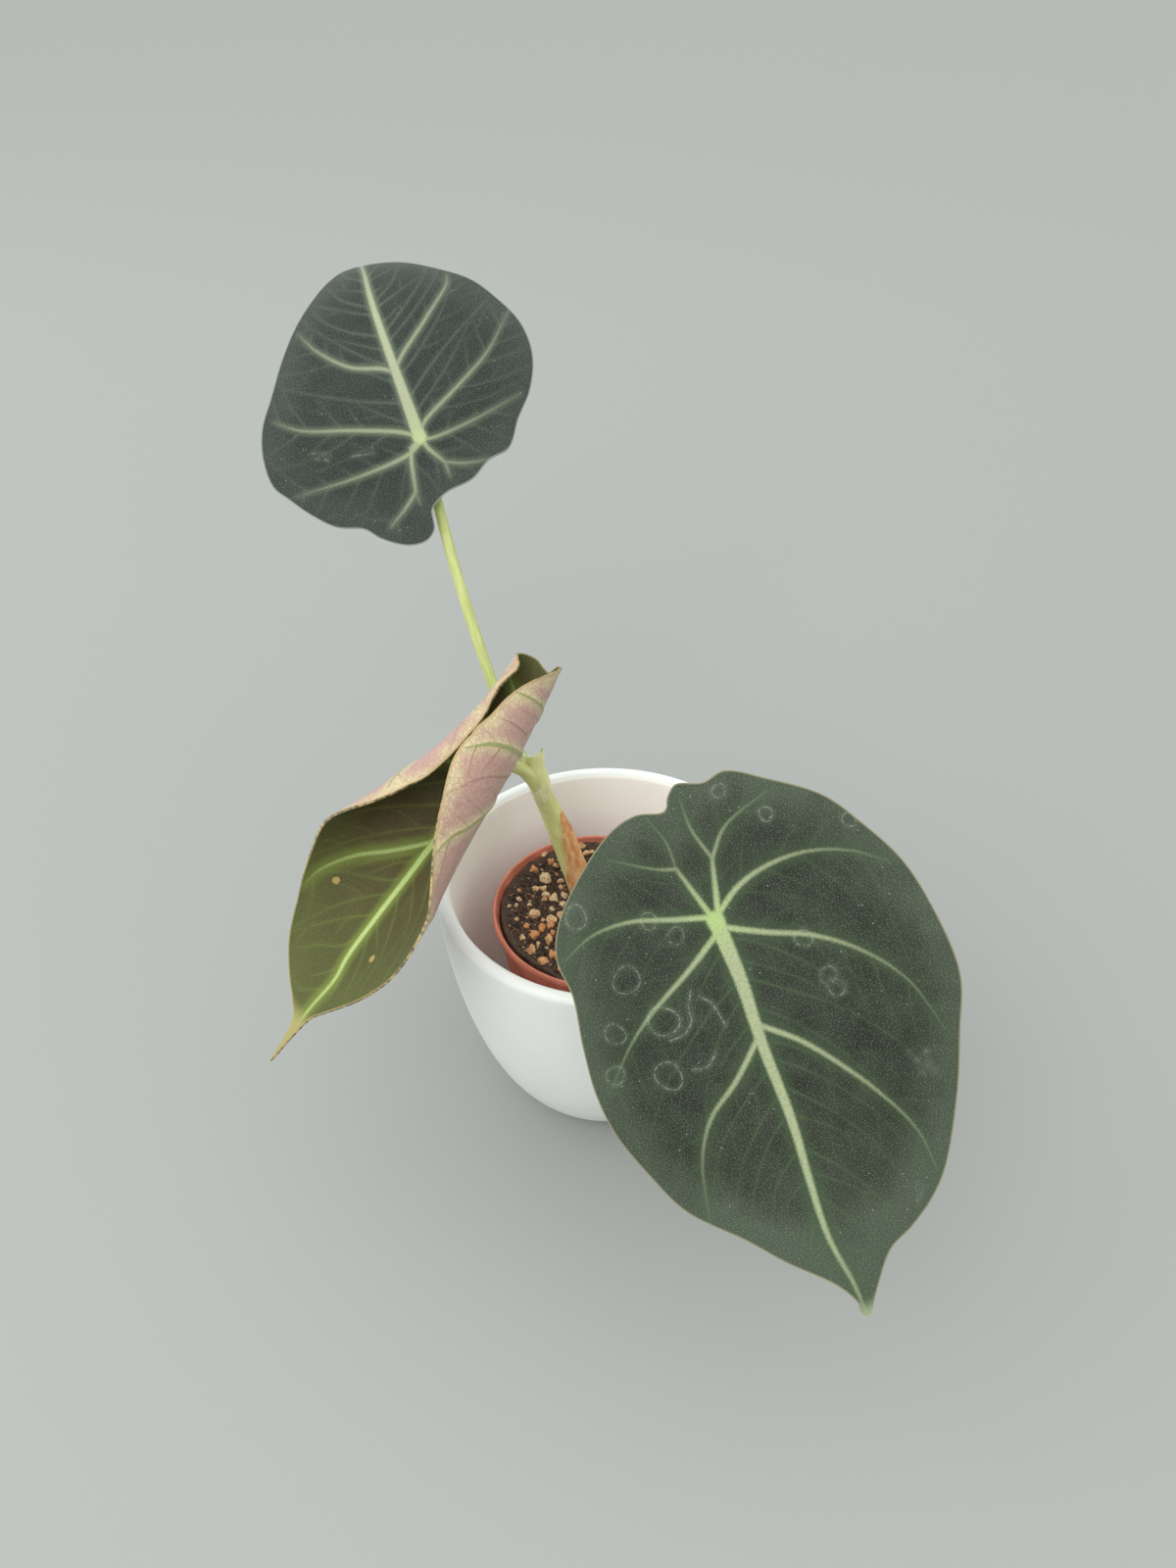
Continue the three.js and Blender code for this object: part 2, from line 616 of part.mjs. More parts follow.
// Skin over the rows of a shell whose every ring runs along its inner side and back along its outer side
function skin(rings, columns) {
  const count = rings[0].length;
  const corners = [];
  for (let r = 0; r + 1 < rings.length; r += 1) {
    for (let i = 0; i < count; i += 1) {
      const [a, b] = [r * count + i, r * count + ((i + 1) % count)];
      corners.push(a, b, b + count, a, b + count, a + count);
    }
  }
  const top = (rings.length - 1) * count;
  for (let i = 0; i < columns; i += 1) {
    const [a, b, c, d] = [i, i + 1, count - 2 - i, count - 1 - i];
    corners.push(a, c, b, a, d, c);
    corners.push(top + a, top + b, top + c, top + a, top + c, top + d);
  }
  const geometry = new THREE.BufferGeometry();
  const flat = rings.flat().flatMap((p) => p.toArray());
  geometry.setAttribute('position', new THREE.Float32BufferAttribute(flat, 3));
  geometry.setIndex(corners);
  return geometry;
}

function rhizome(grow = 0) {
  const { x, y, top, length, radius, crownRadius } = RHIZOME;
  const profile = [
    [0, top - length - grow], [radius * 0.55 + grow, top - length - grow], [radius * 0.85 + grow, top - 18],
    [radius * 0.8 + grow, top - 14], [radius * 0.95 + grow, top - 11], [radius * 0.9 + grow, top - 7],
    [radius + grow, top - 3], [crownRadius + grow, top + grow], [0, top + grow],
  ];
  return solidOf(lathe(profile, 20, x, y));
}

// Potting mix, lumpy on top, with a hole for everything that grows in it
function soilHeight(x, y) {
  const broad = Math.sin(0.42 * x + 1) * Math.cos(0.37 * y);
  const fine = 0.6 * Math.sin(0.9 * x - 0.7 * y);
  return SOIL.top + SOIL.bump * (broad + fine);
}

// What a stem's foot takes up in the soil, from inside the rhizome's hollow to clear of the surface
function stemHole({ points, radii }, grow) {
  const [foot, next] = [vector(points[0]), vector(points[1])];
  const lower = foot.clone().setZ(foot.z - 2);
  const upper = foot.clone().lerp(next, 0.5);
  return solidOf(stalk([lower, foot, upper], [radii[0], radii[0]], 4, { grow, sides: 14, footUp: UP }));
}

function soil() {
  const { offsetX, floor, segments } = NURSERY_POT;
  const bottom = NURSERY_BASE_Z + floor + FIT_GAP;
  const wallAt = (z) => nurseryInside(z - NURSERY_BASE_Z) - FIT_GAP;
  const profile = [[0, bottom], [wallAt(bottom) - 1.4, bottom], [wallAt(bottom + 2), bottom + 2]];
  profile.push([wallAt(SOIL.top - 2), SOIL.top - 2]);
  const edge = wallAt(SOIL.top);
  for (let r = SOIL.rings; r >= 0; r -= 1) profile.push([(edge * r) / SOIL.rings, SOIL.top]);
  const body = mergeVertices(lathe(profile, segments, offsetX, 0));
  const positions = body.attributes.position;
  for (let i = 0; i < positions.count; i += 1) {
    if (positions.getZ(i) > SOIL.top - 1) positions.setZ(i, soilHeight(positions.getX(i), positions.getY(i)));
  }
  let mix = solidOf(body);
  const random = seededRandom(SOIL.seed);
  const stemFoot = new THREE.Vector2(SHEATH.points[0][0], SHEATH.points[0][1]);
  for (let made = 0; made < SOIL.lumpCount;) {
    const reach = SOIL.lumpReach * Math.sqrt(random());
    const turn = 2 * Math.PI * random();
    const [x, y] = [offsetX + reach * Math.cos(turn), reach * Math.sin(turn)];
    const radius = THREE.MathUtils.lerp(SOIL.lumpRadius[0], SOIL.lumpRadius[1], random());
    const spin = Math.PI * random();
    if (stemFoot.distanceTo(new THREE.Vector2(x, y)) < SOIL.clearOfStem) continue;
    const lump = new THREE.IcosahedronGeometry(radius, 0);
    lump.scale(1.15, 0.9, 0.85);
    lump.rotateZ(spin);
    lump.translate(x, y, soilHeight(x, y) + radius * SOIL.lumpSunk);
    mix = mix.add(solidOf(lump));
    made += 1;
  }
  const sheathHole = DRY_SHEATH.gap + DRY_SHEATH.thickness + 2 * FIT_GAP;
  mix = mix.subtract(rhizome(FIT_GAP)).subtract(stemHole(SHEATH, sheathHole));
  for (const foot of [STALK_FRONT, STALK_UPPER]) mix = mix.subtract(stemHole(foot, FIT_GAP + 0.1));
  return mix.decompose().sort((a, b) => b.volume() - a.volume())[0];
}

// Assembly
const alocasia = new THREE.Group();

function addPiece(name, solid, material) {
  const mesh = new THREE.Mesh(geometryOf(solid), material);
  mesh.name = name;
  alocasia.add(mesh);
}

addPiece('cover_pot', coverPot(), GLAZE);
addPiece('nursery_pot', nurseryPot(), RED_PLASTIC);
addPiece('soil', soil(), POTTING_MIX);
addPiece('rhizome', rhizome(), RHIZOME_BROWN);
addPiece('petiole_rolled', sheath().add(leafStalk(LEAF_ROLLED, STALK_ROLLED)), STALK_GREEN);
addPiece('petiole_upper', leafStalk(LEAF_UPPER, STALK_UPPER), STALK_GREEN);
addPiece('petiole_front', leafStalk(LEAF_FRONT, STALK_FRONT), STALK_GREEN);
addPiece('dry_sheath', drySheath(), DRY_BROWN);
addPiece('leaf_front', leafSolid(LEAF_FRONT), DARK_VELVET);
addPiece('leaf_rolled', leafSolid(LEAF_ROLLED), YOUNG_VELVET);
addPiece('leaf_upper', leafSolid(LEAF_UPPER), DARK_VELVET);

export default alocasia;
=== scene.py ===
# Looks of a potted black velvet alocasia: three velvety leaves on yellow-green stalks, dark potting
# mix with pumice, a brick-red nursery pot and a matt white cover pot.
# Values are millimetres in the part's own frame, and MM turns them to metres.
import math
import random

import bmesh
import bpy
import numpy as np
from mathutils import Matrix, Vector, noise


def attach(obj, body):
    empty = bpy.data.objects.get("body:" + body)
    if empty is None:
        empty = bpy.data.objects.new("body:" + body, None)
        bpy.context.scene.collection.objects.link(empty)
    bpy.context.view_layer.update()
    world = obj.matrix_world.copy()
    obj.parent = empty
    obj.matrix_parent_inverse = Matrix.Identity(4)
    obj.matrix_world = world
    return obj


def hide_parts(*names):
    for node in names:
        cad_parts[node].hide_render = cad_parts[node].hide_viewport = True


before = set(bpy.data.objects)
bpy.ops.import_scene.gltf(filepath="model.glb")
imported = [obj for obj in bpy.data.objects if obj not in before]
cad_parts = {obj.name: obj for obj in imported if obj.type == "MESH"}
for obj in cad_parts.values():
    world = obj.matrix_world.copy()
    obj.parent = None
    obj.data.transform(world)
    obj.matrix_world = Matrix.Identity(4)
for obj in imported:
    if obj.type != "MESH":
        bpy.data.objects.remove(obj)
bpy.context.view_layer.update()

MM = 0.001

# Vertices nearer than this are merged
MERGE_GAP = 0.0005

# Camera at the photograph's viewpoint
CAMERA_PLACE = (-5.5, -234.6, 297.0)
CAMERA_BELOW_HORIZON = 39.03
CAMERA_LENS = 27.0
CAMERA_SENSOR = 36.0

# Sky and floor, in metres: the sky's strength at the horizon and overhead, and each soft light's place,
# side and power
SKY_LOW = 0.85
SKY_HIGH = 1.75
LIGHTS = {
    "window_light": ((-1.25, -0.1, 0.95), 1.5, 8.0),
    "front_light": ((-0.3, -0.78, 0.9), 0.7, 5.0),
}
LIT_POINT = (0, 0, 0.08)
FLOOR_SIDE = 14.0
FLOOR_MIDDLE = (0, 3, 0)
# Where the floor's shade begins and ends, in metres from its middle
SHADE = (-2.2, -3.1)

# Pots and soil
COVER_POT = {"height": 76.0, "rim": 47.0, "base": 24.0, "wall": 3.9, "floor": 6.0, "bulge": 1.72}
COVER_POT_SIDES = 144
NURSERY_POT = {"rim": 30.0, "base": 21.0, "height": 56.7, "wall": 0.6, "roll": 1.2, "floor": 1.6}
NURSERY_POT_SIDES = 120
# Radius of the small disc that closes a pot's floor
POLE = 2.0
# The nursery pot's rim swells by RIM_BAND to either side of its middle, and the wall meets it at WALL_TOP
RIM_BAND = 0.58
WALL_TOP = NURSERY_POT["rim"] - 2 * RIM_BAND + NURSERY_POT["wall"] / 2
NURSERY_X = -2.3
NURSERY_Z = 6.3
DRAIN_HOLE = {"radius": 2.0, "circle": 12.0, "count": 4, "depth": 8.0}
SOIL_TOP = 59.4
SOIL_BANK = {"height": 2.9, "radius": 27.0, "power": 6}
SOIL_GAP = 0.3
BED_MESH = (180, 100)
# Shares of the bed's section at which its floor, its side and its top begin, and its middle
BED_SECTION = (0, 0.15, 0.3, 1)

# Leaves. u runs from the stalk along the midrib to the tip and v across it, both in flat millimetres.
# attachment is where the stalk meets the blade, and along and up are its directions there. bow curves the
# midrib sideways, and bend turns it down, in radians a millimetre at a few places u. minus and plus are the
# halves of the blade: how far each opens, how it curls, and how much more it does at its rim. wave has the
# height, number and phase of the ripples. rib is how far the main veins stand out below, fade how late
# they thin out, and spacing how far apart small veins leave the midrib.
MIDRIB_STRETCH = (-48, 108)
BOW_REACH = 50.0
WAVE_REACH = 40.0
CROSS_STEPS = 12
BLADE_THICKNESS = 0.6

# Lines on the leaves: how far the plain distance goes beyond the signed one, how near two lines are where
# the side is unsure, and what stands for an unsure side
VEIN_GATE = 0.75
JUNCTION_GAP = 0.9
NO_SIDE = 60.0

# Small veins that are grown: their spacing on the line they leave, the angle, the strength and the most
# steps. The midrib's spacing is each leaf's own. Strength off a small vein is a share of that vein's.
OFF_MIDRIB = (60, 0.9, 40)
OFF_MAIN = (7.5, 45, 0.55, 22)
OFF_SMALL = {"spacing": 11.0, "angle": 42, "strength": 0.5, "steps": 9}
VEINLET = {"step": 1.2, "look_ahead": 3.0, "clear": 1.7, "stop": 1.1, "bend": 1.4, "sway": 1.8}

# Relief of the blades: how high or deep it is and how far it reaches. Main veins swell with their width,
# and the groove over one reaches beyond its width.
VEIN_WIDTHS = (0.3, 1.3)
VEIN_FLARE = 0.35
THREAD = {"height": 0.12, "reach": 0.9}
BOSS = {"height": 1.32, "reach": 4.2, "slope": 2.8}
GROOVE = {"depth": 0.1, "reach": 1.2}
QUILT = {"height": 0.12, "reach": 6.0, "margin": 3.0}
RIM_FADE = 0.8

LEAF_FRONT = {
    "attachment": (21.6, -58.6, 117.1),
    "along": (0.344, -0.694, -0.632),
    "up": (-0.106, -0.697, 0.709),
    "bow": 0.0,
    "bend": [(-45, 0.0022), (110, 0.0022)],
    "minus": {"open": [(0, -0.02)], "curl": [(0, -0.0025)], "rim": 0.0},
    "plus": {"open": [(0, -0.1)], "curl": [(0, -0.006)], "rim": 0.0},
    "wave": (0.9, 5, 0.6),
    "mesh": (400, 110),
    "rib": 0.75,
    "seed": 3,
    "fade": 1.5,
    "spacing": 5.5,
    "outline": [
        (-25.7, 2), (-28.5, 0.2), (-30.4, -2.3), (-28.7, -8), (-29.5, -13.2), (-24.5, -21.3),
        (-17, -31.2), (-9, -36.6), (1.5, -41.8), (13, -43.9), (28, -44), (39, -39.8), (52, -34.5),
        (66, -26.6), (71, -21.4), (74.3, -15.7), (76.7, -9.7), (82.7, -4.2), (86.9, -0.7),
        (86.4, 0.5), (84, 0.6), (79, 3.4), (71, 12), (65, 18), (56.4, 28.6), (48, 33.5),
        (37.4, 37.9), (27.5, 39.1), (16, 37.9), (5, 36), (-4, 36.7), (-12, 32.8),
        (-21.3, 22.3), (-26.2, 13.6), (-27.1, 8),
    ],
    # Each vein, the midrib first: half its width at both ends, and the points it runs through
    "veins": [
        (2.0, 0.35, [(0, 0), (13.6, -0.5), (27, 0.1), (44, 0), (56, 0.9), (69, 1.5), (80, 0),
                     (86, -0.2)]),
        (0.72, 0.12, [(-1, -1), (-5, -7), (-7, -14), (-7, -23), (-4, -32), (1, -39)]),
        (0.72, 0.12, [(2, -1), (6, -9), (10, -18), (16, -26), (25, -33), (38, -37)]),
        (0.68, 0.12, [(23, 0), (30, -8), (39, -15), (47, -20), (56, -24), (66, -25)]),
        (0.72, 0.12, [(-1, 1), (-3, 8), (-6, 18), (-6, 27), (-3, 35)]),
        (0.72, 0.12, [(3, 1), (8, 9), (14, 20), (19, 27), (27, 35)]),
        (0.68, 0.12, [(26, 0.4), (33, 8), (39, 16), (47, 21), (59, 24)]),
        (0.7, 0.45, [(-1, 0.5), (-13, 4)]),
        (0.45, 0.12, [(-13, 4), (-14.5, 8), (-20, 17)]),
        (0.3, 0.12, [(-13, 4), (-19, 4), (-25, 6)]),
        (0.75, 0.5, [(-1, -1), (-12.5, -4)]),
        (0.5, 0.12, [(-12.5, -4), (-18, -9), (-22, -20)]),
        (0.45, 0.12, [(-12.5, -4), (-20, -2), (-27, -2)]),
    ],
    "fine": [
        [(13, -1), (18, -8), (25, -17), (34, -25), (45, -31)], [(37, -1), (46, -9), (54, -14), (65, -18)],
        [(50, 0), (58, -7), (68, -12), (74, -12)], [(60, 0.6), (67, -4), (75, -8)],
        [(14, 1), (18, 8), (23, 15), (30, 23), (40, 31)], [(43, 1), (47, 6), (53, 11), (62, 16)],
        [(51, 2), (56, 8), (64, 12)], [(62, 1), (68, 5), (73, 7)],
    ],
    # Rings and specks that dried water left (u, v, radius and strength), and its broken lines
    "marks": [
        (16.4, 18.3, 3.3, 0.9), (18.9, -18, 1.8, 0.7), (21.8, -18.7, 1.8, 0.7), (27.8, 21.4, 3.0, 0.7),
        (5.5, 22.8, 3.0, 0.6), (-11.2, 28.9, 2.6, 0.7), (-17.4, -18.1, 1.5, 0.7), (-10.2, -34.3, 1.5, 0.6),
        (-25.7, -10.5, 1.5, 0.6), (-4.7, 13.6, 1.8, 0.6), (0.3, 9.1, 1.8, 0.5), (9.9, -16, 1.8, 0.6),
        (24.4, 33, 2.1, 0.6), (15.7, 29.6, 2.3, 0.6), (42, -29, 0.3, 0.8), (43.5, -31, 0.35, 0.9),
        (41, -31.5, 0.3, 0.8), (44.8, -29.2, 0.2, 0.7), (40, -28, 0.2, 0.7), (45.5, -31.8, 0.2, 0.7),
        (69, -19.5, 0.3, 0.8), (68, -20.6, 0.2, 0.8), (70, -18.6, 0.2, 0.7), (66.8, -19.6, 0.2, 0.6),
    ],
    "trails": [
        [(12.4, 10.4), (15.8, 12.1), (18.3, 12.4), (20.4, 14.8), (20.8, 18.2)],
        [(14.3, 8.7), (15.7, 7.2), (18.4, 6.4), (21.2, 5.9)],
        [(26.5, 10.2), (28.4, 12.8), (28.1, 15.4)],
    ],
}

LEAF_ROLLED = {
    "attachment": (-27.4, 1.7, 114.1),
    "along": (-0.569, -0.546, -0.615),
    "up": (-0.635, -0.184, 0.75),
    "bow": 0.5,
    "bend": [(-25, -0.008), (0, -0.006), (45, 0.003), (95, -0.006)],
    "minus": {
        "open": [(-30, 0.05), (95, -0.16)],
        "curl": [(-25, 0.098), (0, 0.046), (20, 0.029), (40, 0.012), (60, 0.007)],
        "rim": 1.9e-5,
    },
    "plus": {
        "open": [(0, 0.03)],
        "curl": [(-25, 0.184), (0, 0.138), (20, 0.101), (40, 0.074), (60, 0.054), (85, 0.052)],
        "rim": 0.0,
    },
    "wave": (0.0, 5, 0.0),
    "mesh": (380, 110),
    "rib": 0.7,
    "seed": 5,
    "fade": 2.5,
    "spacing": 7.0,
    "outline": [
        (-24.7, 1), (-27, -1.5), (-26.6, -7), (-24.2, -12.3), (-20, -17.8), (-14.5, -22.5),
        (-7, -27.5), (0, -33.2), (8, -36.2), (18, -36.6), (27, -36.2), (36, -33.8), (44, -30.4),
        (57, -23.3), (67, -15.9), (76.6, -7.2), (80, -4.5), (87, -3.4), (94.2, -3.3),
        (88.4, -1.5), (84, 0.3), (80.7, 5.2), (77.8, 9.6), (73.4, 14.1), (68.2, 17.7),
        (57.5, 22.4), (46.4, 27), (37, 33), (30, 35.6), (18, 34), (10.8, 30.7), (2, 26.6),
        (-6.3, 23.4), (-15.4, 19), (-22.6, 19), (-25.6, 13), (-26.5, 6), (-25.3, 3.2),
    ],
    "veins": [
        (1.9, 0.5, [(0, 0), (13, 0.2), (27, 0.4), (39, -0.3), (51, -0.6), (63, -1.1), (69, -2.6), (78, -2),
                    (88, -2.4)]),
        (0.66, 0.15, [(27, 0.4), (30, 3.4), (37, 10), (43, 16), (51, 21), (56, 22)]),
        (0.55, 0.15, [(6, -1), (9, -10), (11, -15.5), (15, -22), (19, -27), (23, -32), (28, -35.5)]),
        (0.65, 0.15, [(-2, -1), (-3, -12), (-2.7, -20.5), (-1.6, -25), (0, -29), (4, -34)]),
        (0.6, 0.15, [(-2, 1), (-5, 9), (-7, 21)]),
        (0.6, 0.15, [(4, 1), (8, 10), (15, 22), (24, 33)]),
        (0.55, 0.25, [(-1, -1), (-10, -4), (-15.4, -9), (-16.4, -15), (-16, -21)]),
        (0.5, 0.25, [(-1, 0), (-10, 3), (-17, 8), (-21, 15)]),
    ],
    "fine": [
        [(2.5, -8), (2.5, -14), (5, -23), (7.5, -28), (13.6, -34), (16, -36)],
        [(-8, -14), (-8.4, -21), (-7.4, -26)], [(18, -1), (22, -10), (29, -21), (37, -29)],
        [(28, -0.4), (36, -10), (47, -18), (60, -20.5)],
        [(38, -1), (42, 4), (45, 10), (48, 16), (52, 21)], [(42, -1), (48, -7), (56, -12), (66, -14)],
        [(55, -1), (62, 3), (66, 9), (70, 13)], [(54, -1.5), (60, -6), (69, -10)],
        [(64, -2), (69, 1), (73, 5)], [(65, -2.5), (70, -5), (75, -6)],
        [(14, 0.4), (22, 10), (30, 20), (38, 28)], [(33, 0.3), (38, 6), (44, 10)],
    ],
    # Small dead spots: u, v, radius and strength
    "marks": [(50.6, 15.9, 0.3, 1.0), (58.4, -9.8, 0.3, 1.0)],
    "trails": [],
}

LEAF_UPPER = {
    "attachment": (-49.8, 63.7, 172.6),
    "along": (-0.343, 0.582, 0.737),
    "up": (0.0, -0.72, 0.69),
    "bow": 0.0,
    "bend": [(-45, 0.005), (0, 0.0062), (110, 0.0403)],
    "minus": {"open": [(0, -0.03)], "curl": [(0, -0.002)], "rim": 0.0},
    "plus": {"open": [(0, -0.05)], "curl": [(0, -0.003)], "rim": 0.0},
    "wave": (0.8, 5, 2.0),
    "mesh": (360, 100),
    "rib": 0.75,
    "seed": 4,
    "fade": 2.5,
    "spacing": 5.5,
    "outline": [
        (-15.6, 2), (-17.2, -1.6), (-18.6, -3.4), (-23.5, -4.6), (-25.7, -7.6), (-25.3, -12.6),
        (-21.3, -18.8), (-17.4, -22.2), (-14.3, -29), (-8.6, -34.5), (-3.1, -38.3), (1.2, -41),
        (9, -41.1), (17.3, -38.7), (25.6, -33.9), (36.6, -28), (46.2, -21.8), (55.9, -13.9),
        (66, -6.4), (76, -1.6), (83, 0), (76, 3.6), (70, 8.4), (64, 13.4), (57.3, 18.7),
        (46, 27.5), (33.8, 32.6), (21.9, 36.3), (12, 36.1), (3.3, 32.2), (-3.2, 26.5),
        (-9.8, 21.5), (-11.2, 15.4), (-14.6, 9.3),
    ],
    "veins": [
        (1.9, 0.35, [(0, 0), (20, 0), (40, 0.2), (60, 1), (80, 0.4)]),
        (0.64, 0.12, [(19, -0.5), (21, -3), (25, -11), (34, -18), (43, -21.5)]),
        (0.64, 0.12, [(1, -1), (3, -4), (8, -16), (13, -29), (18, -35)]),
        (0.66, 0.12, [(-1.5, -1), (-3, -4), (-4, -18), (-3, -36)]),
        (0.6, 0.12, [(20, 0.5), (22, 2), (32, 12), (44, 21), (50, 22.5)]),
        (0.58, 0.12, [(2, 1), (4, 3), (10, 14), (17, 25), (27, 34)]),
        (0.54, 0.12, [(-0.5, 1), (-1, 3), (0, 14), (3, 29)]),
        (0.7, 0.5, [(-1, -1), (-2, -3), (-13, -6)]),
        (0.5, 0.25, [(-13, -6), (-16, -10), (-19, -15)]),
        (0.3, 0.2, [(-13, -6), (-15.5, -6)]),
        (0.65, 0.45, [(-1, 0.5), (-3, 1), (-8, 4)]),
        (0.4, 0.2, [(-8, 4), (-10, 9), (-11, 15)]),
        (0.4, 0.2, [(-8, 4), (-11.5, 4)]),
    ],
    "fine": [
        [(10, -1), (15, -12), (21, -22), (27, -30)], [(30, -0.5), (35, -8), (43, -14), (51, -16)],
        [(40, 0), (47, -7), (57, -10)], [(52, 0.6), (59, -4), (66, -5)],
        [(11, 1), (20, 12), (29, 24), (34, 31)], [(31, 1), (38, 8), (48, 15), (56, 18)],
        [(42, 1), (49, 7), (60, 11)], [(54, 1.2), (60, 4), (67, 7)],
    ],
    # Pale scratches
    "marks": [],
    "trails": [
        [(5.8, -28), (5.6, -26.5), (4.4, -24.8), (3.9, -23.6)],
        [(5.2, -25.6), (3.4, -25.4), (2.4, -24.8)],
        [(4.2, -27.6), (3.4, -26), (3.2, -24.4)],
        [(1.5, -18.2), (0.9, -15.5), (0.3, -12.7)],
        [(0.4, -13.2), (1.5, -12.8)],
    ],
}

# Stalks: the middle line from the foot up, radii spread evenly along it, and for a leaf's stalk how
# far its last stretch leans towards the lobes
STALK_FRONT = {
    "points": [(-1.9, 7.2, 56.3), (0.2, 2, 72), (8, -22, 97), (15, -40, 108.5)],
    "radii": [1.8, 1.5, 1.4], "tail": 0.0,
}
STALK_UPPER = {
    "points": [(-10.2, 15.9, 56.3), (-17.2, 21, 78), (-27.8, 30, 104), (-38, 43, 132), (-45, 56.6, 153.2)],
    "radii": [1.6, 1.5, 1.35], "tail": 2.5,
}
STALK_ROLLED = {
    "points": [(-15.2, 9.2, 88.5), (-17.6, 8.4, 96), (-19.6, 7.4, 101.5), (-22.4, 5, 107.5)],
    "radii": [1.5, 2.1, 1.9, 1.6, 1.5], "tail": 0.0,
}
STALK_END = 3.0
HUB_DEPTH = 1.2
STALK_INTO_BLADE = 0.8
STALK_SIDES = 20
ABOVE_ALL = 400.0
SHEATH_TIP_DRY = 111.0
# The channel down a stalk: its depth as a share of the radius, and its place and width as shares of a turn
CHANNEL = {"depth": 0.12, "at": 0.25, "width": 0.07}
SHEATH = {
    "points": [(-7.2, 11.2, 56.3), (-13.2, 9.6, 82.3), (-16.5, 8.7, 93), (-18.3, 8.2, 99.5)],
    "radii": [3.4, 3.2, 2.8, 2.4],
    "tongue": [(-15.8, 8.9, 90, 2.4), (-18.3, 8.8, 99.5, 2.7), (-19.9, 9, 106, 2.8), (-19.8, 9, 111.6, 2.35)],
    "tongue_top": [(-215, 108.6), (-180, 109.8), (-120, 110.3), (-90, 110.7), (-35, 111.3), (-5, 111.6),
                   (60, 107.5)],
    "tongue_thickness": 0.45,
    "tongue_mesh": (40, 40),
    "mesh": (36, 60),
    # One edge laps over the other: its place and slant as shares of a turn, and the spiral's radii
    "lap": {"at": 0.3, "slant": 0.04, "outer": 1.03, "drop": 0.1},
}
DRY_SHEATH = {
    "gap": 0.6, "height": 25.0, "foot": (-150, 40), "top": (-36, -12), "thickness": 0.3, "mesh": (40, 60),
}

# Pumice that shows beside the stem: x, y, radius and how orange it is stained
PUMICE_SEEN = [
    (-18.5, 22.3, 0.9, 0.2), (-21.3, 17, 1.2, 0.8), (-17.6, 12.9, 1.5, 0.1), (-18.5, 10.3, 1, 0.2),
    (-15.2, 6.4, 1.5, 0.1), (-12.3, 7.8, 1.2, 0.3), (-12.8, 4.2, 1, 0.1), (-25.2, 8.4, 0.6, 0.6),
    (-25.1, 5, 0.8, 0.1), (-25.9, 2.2, 0.6, 0.2), (-20.7, 0.1, 1.4, 0.3), (-18.4, -5, 1.3, 0.9),
    (-16, -4, 1.2, 0.9), (-20.8, -8.2, 1.5, 0.9), (-16.4, -9.5, 1.3, 0.6), (-7.3, 26, 1, 0.5),
    (-6, 24.2, 1, 0.4), (-4.4, 25.1, 0.8, 0.4), (-15.1, 18.7, 0.8, 0.6), (-13.4, 11.2, 0.7, 0.3),
    (-22.1, 5, 0.6, 0.2), (-21.1, -14.6, 1.4, 0.6), (-15.7, -1.9, 1.2, 0.3), (-17.5, -19.6, 1.4, 0.7),
    (-14.6, -15.9, 1.6, 0.9), (-12.8, -20.7, 1.2, 0.8), (-23.6, -9.9, 1, 0.3),
]
# How many more lumps, motes and crumbs are strewn, their radii, and how near the pot's wall they come
PUMICE_MORE = 150
PUMICE_RADII = (0.35, 1.25)
MOTES = 500
MOTE_RADII = (0.13, 0.32)
CRUMBS = 1500
CRUMB_RADII = (0.25, 1.0)
LUMP_REACH = 25.6
MOTE_REACH = 26.0
# Where stems leave the soil: x, y and radius
STEM_PLACES = [(-7.2, 11.2, 5.2), (-1.9, 7.2, 2.8), (-10.2, 15.9, 2.8)]


def linear(colour):
    """A colour as Blender wants it, from an sRGB hex number."""
    parts = [((colour >> shift) & 255) / 255 for shift in (16, 8, 0)]
    return tuple(p / 12.92 if p <= 0.04045 else ((p + 0.055) / 1.055) ** 2.4 for p in parts) + (1.0,)


def per_mm(size):
    """Scale of a pattern whose features are this many millimetres, on coordinates in metres."""
    return 1 / (size * MM)


def fill(tree, node, inputs):
    """Gives a node's sockets their values, or links them to the outputs of other nodes."""
    for socket, value in inputs.items():
        if isinstance(value, bpy.types.NodeSocket):
            tree.links.new(value, node.inputs[socket])
        else:
            node.inputs[socket].default_value = value


def add(tree, kind, inputs=(), out=0, **settings):
    """Adds one node with its settings and links, and hands back one of its outputs.

    inputs holds a value or a link for each socket, in the order of the sockets or by their names."""
    made = tree.nodes.new("ShaderNode" + kind)
    for name, value in settings.items():
        setattr(made, name, value)
    fill(tree, made, inputs if isinstance(inputs, dict) else dict(enumerate(inputs)))
    return made.outputs[out]


def start_material(name):
    """A new material with its tree and its shader."""
    material = bpy.data.materials.new(name)
    material.use_nodes = True
    return material, material.node_tree, material.node_tree.nodes["Principled BSDF"]


def layered(tree, ground, layers):
    """A ground colour with layers laid over it in turn.

    A layer is its colour and one or more shares, whose product says how much of it shows. A colour is
    an sRGB hex number or a link."""
    for colour, share, *more in layers:
        for factor in more:
            share = add(tree, "Math", [share, factor], operation="MULTIPLY")
        under, over = (linear(c) if isinstance(c, int) else c for c in (ground, colour))
        ground = add(tree, "Mix", {0: share, 6: under, 7: over}, 2, data_type="RGBA")
    return ground


# Inputs of a range, in order: the value, the two ends that it comes from and the two that it goes to,
# which are 0 and 1 unless they are given. EASED rounds off both ends.
EASED = {"interpolation_type": "SMOOTHSTEP"}


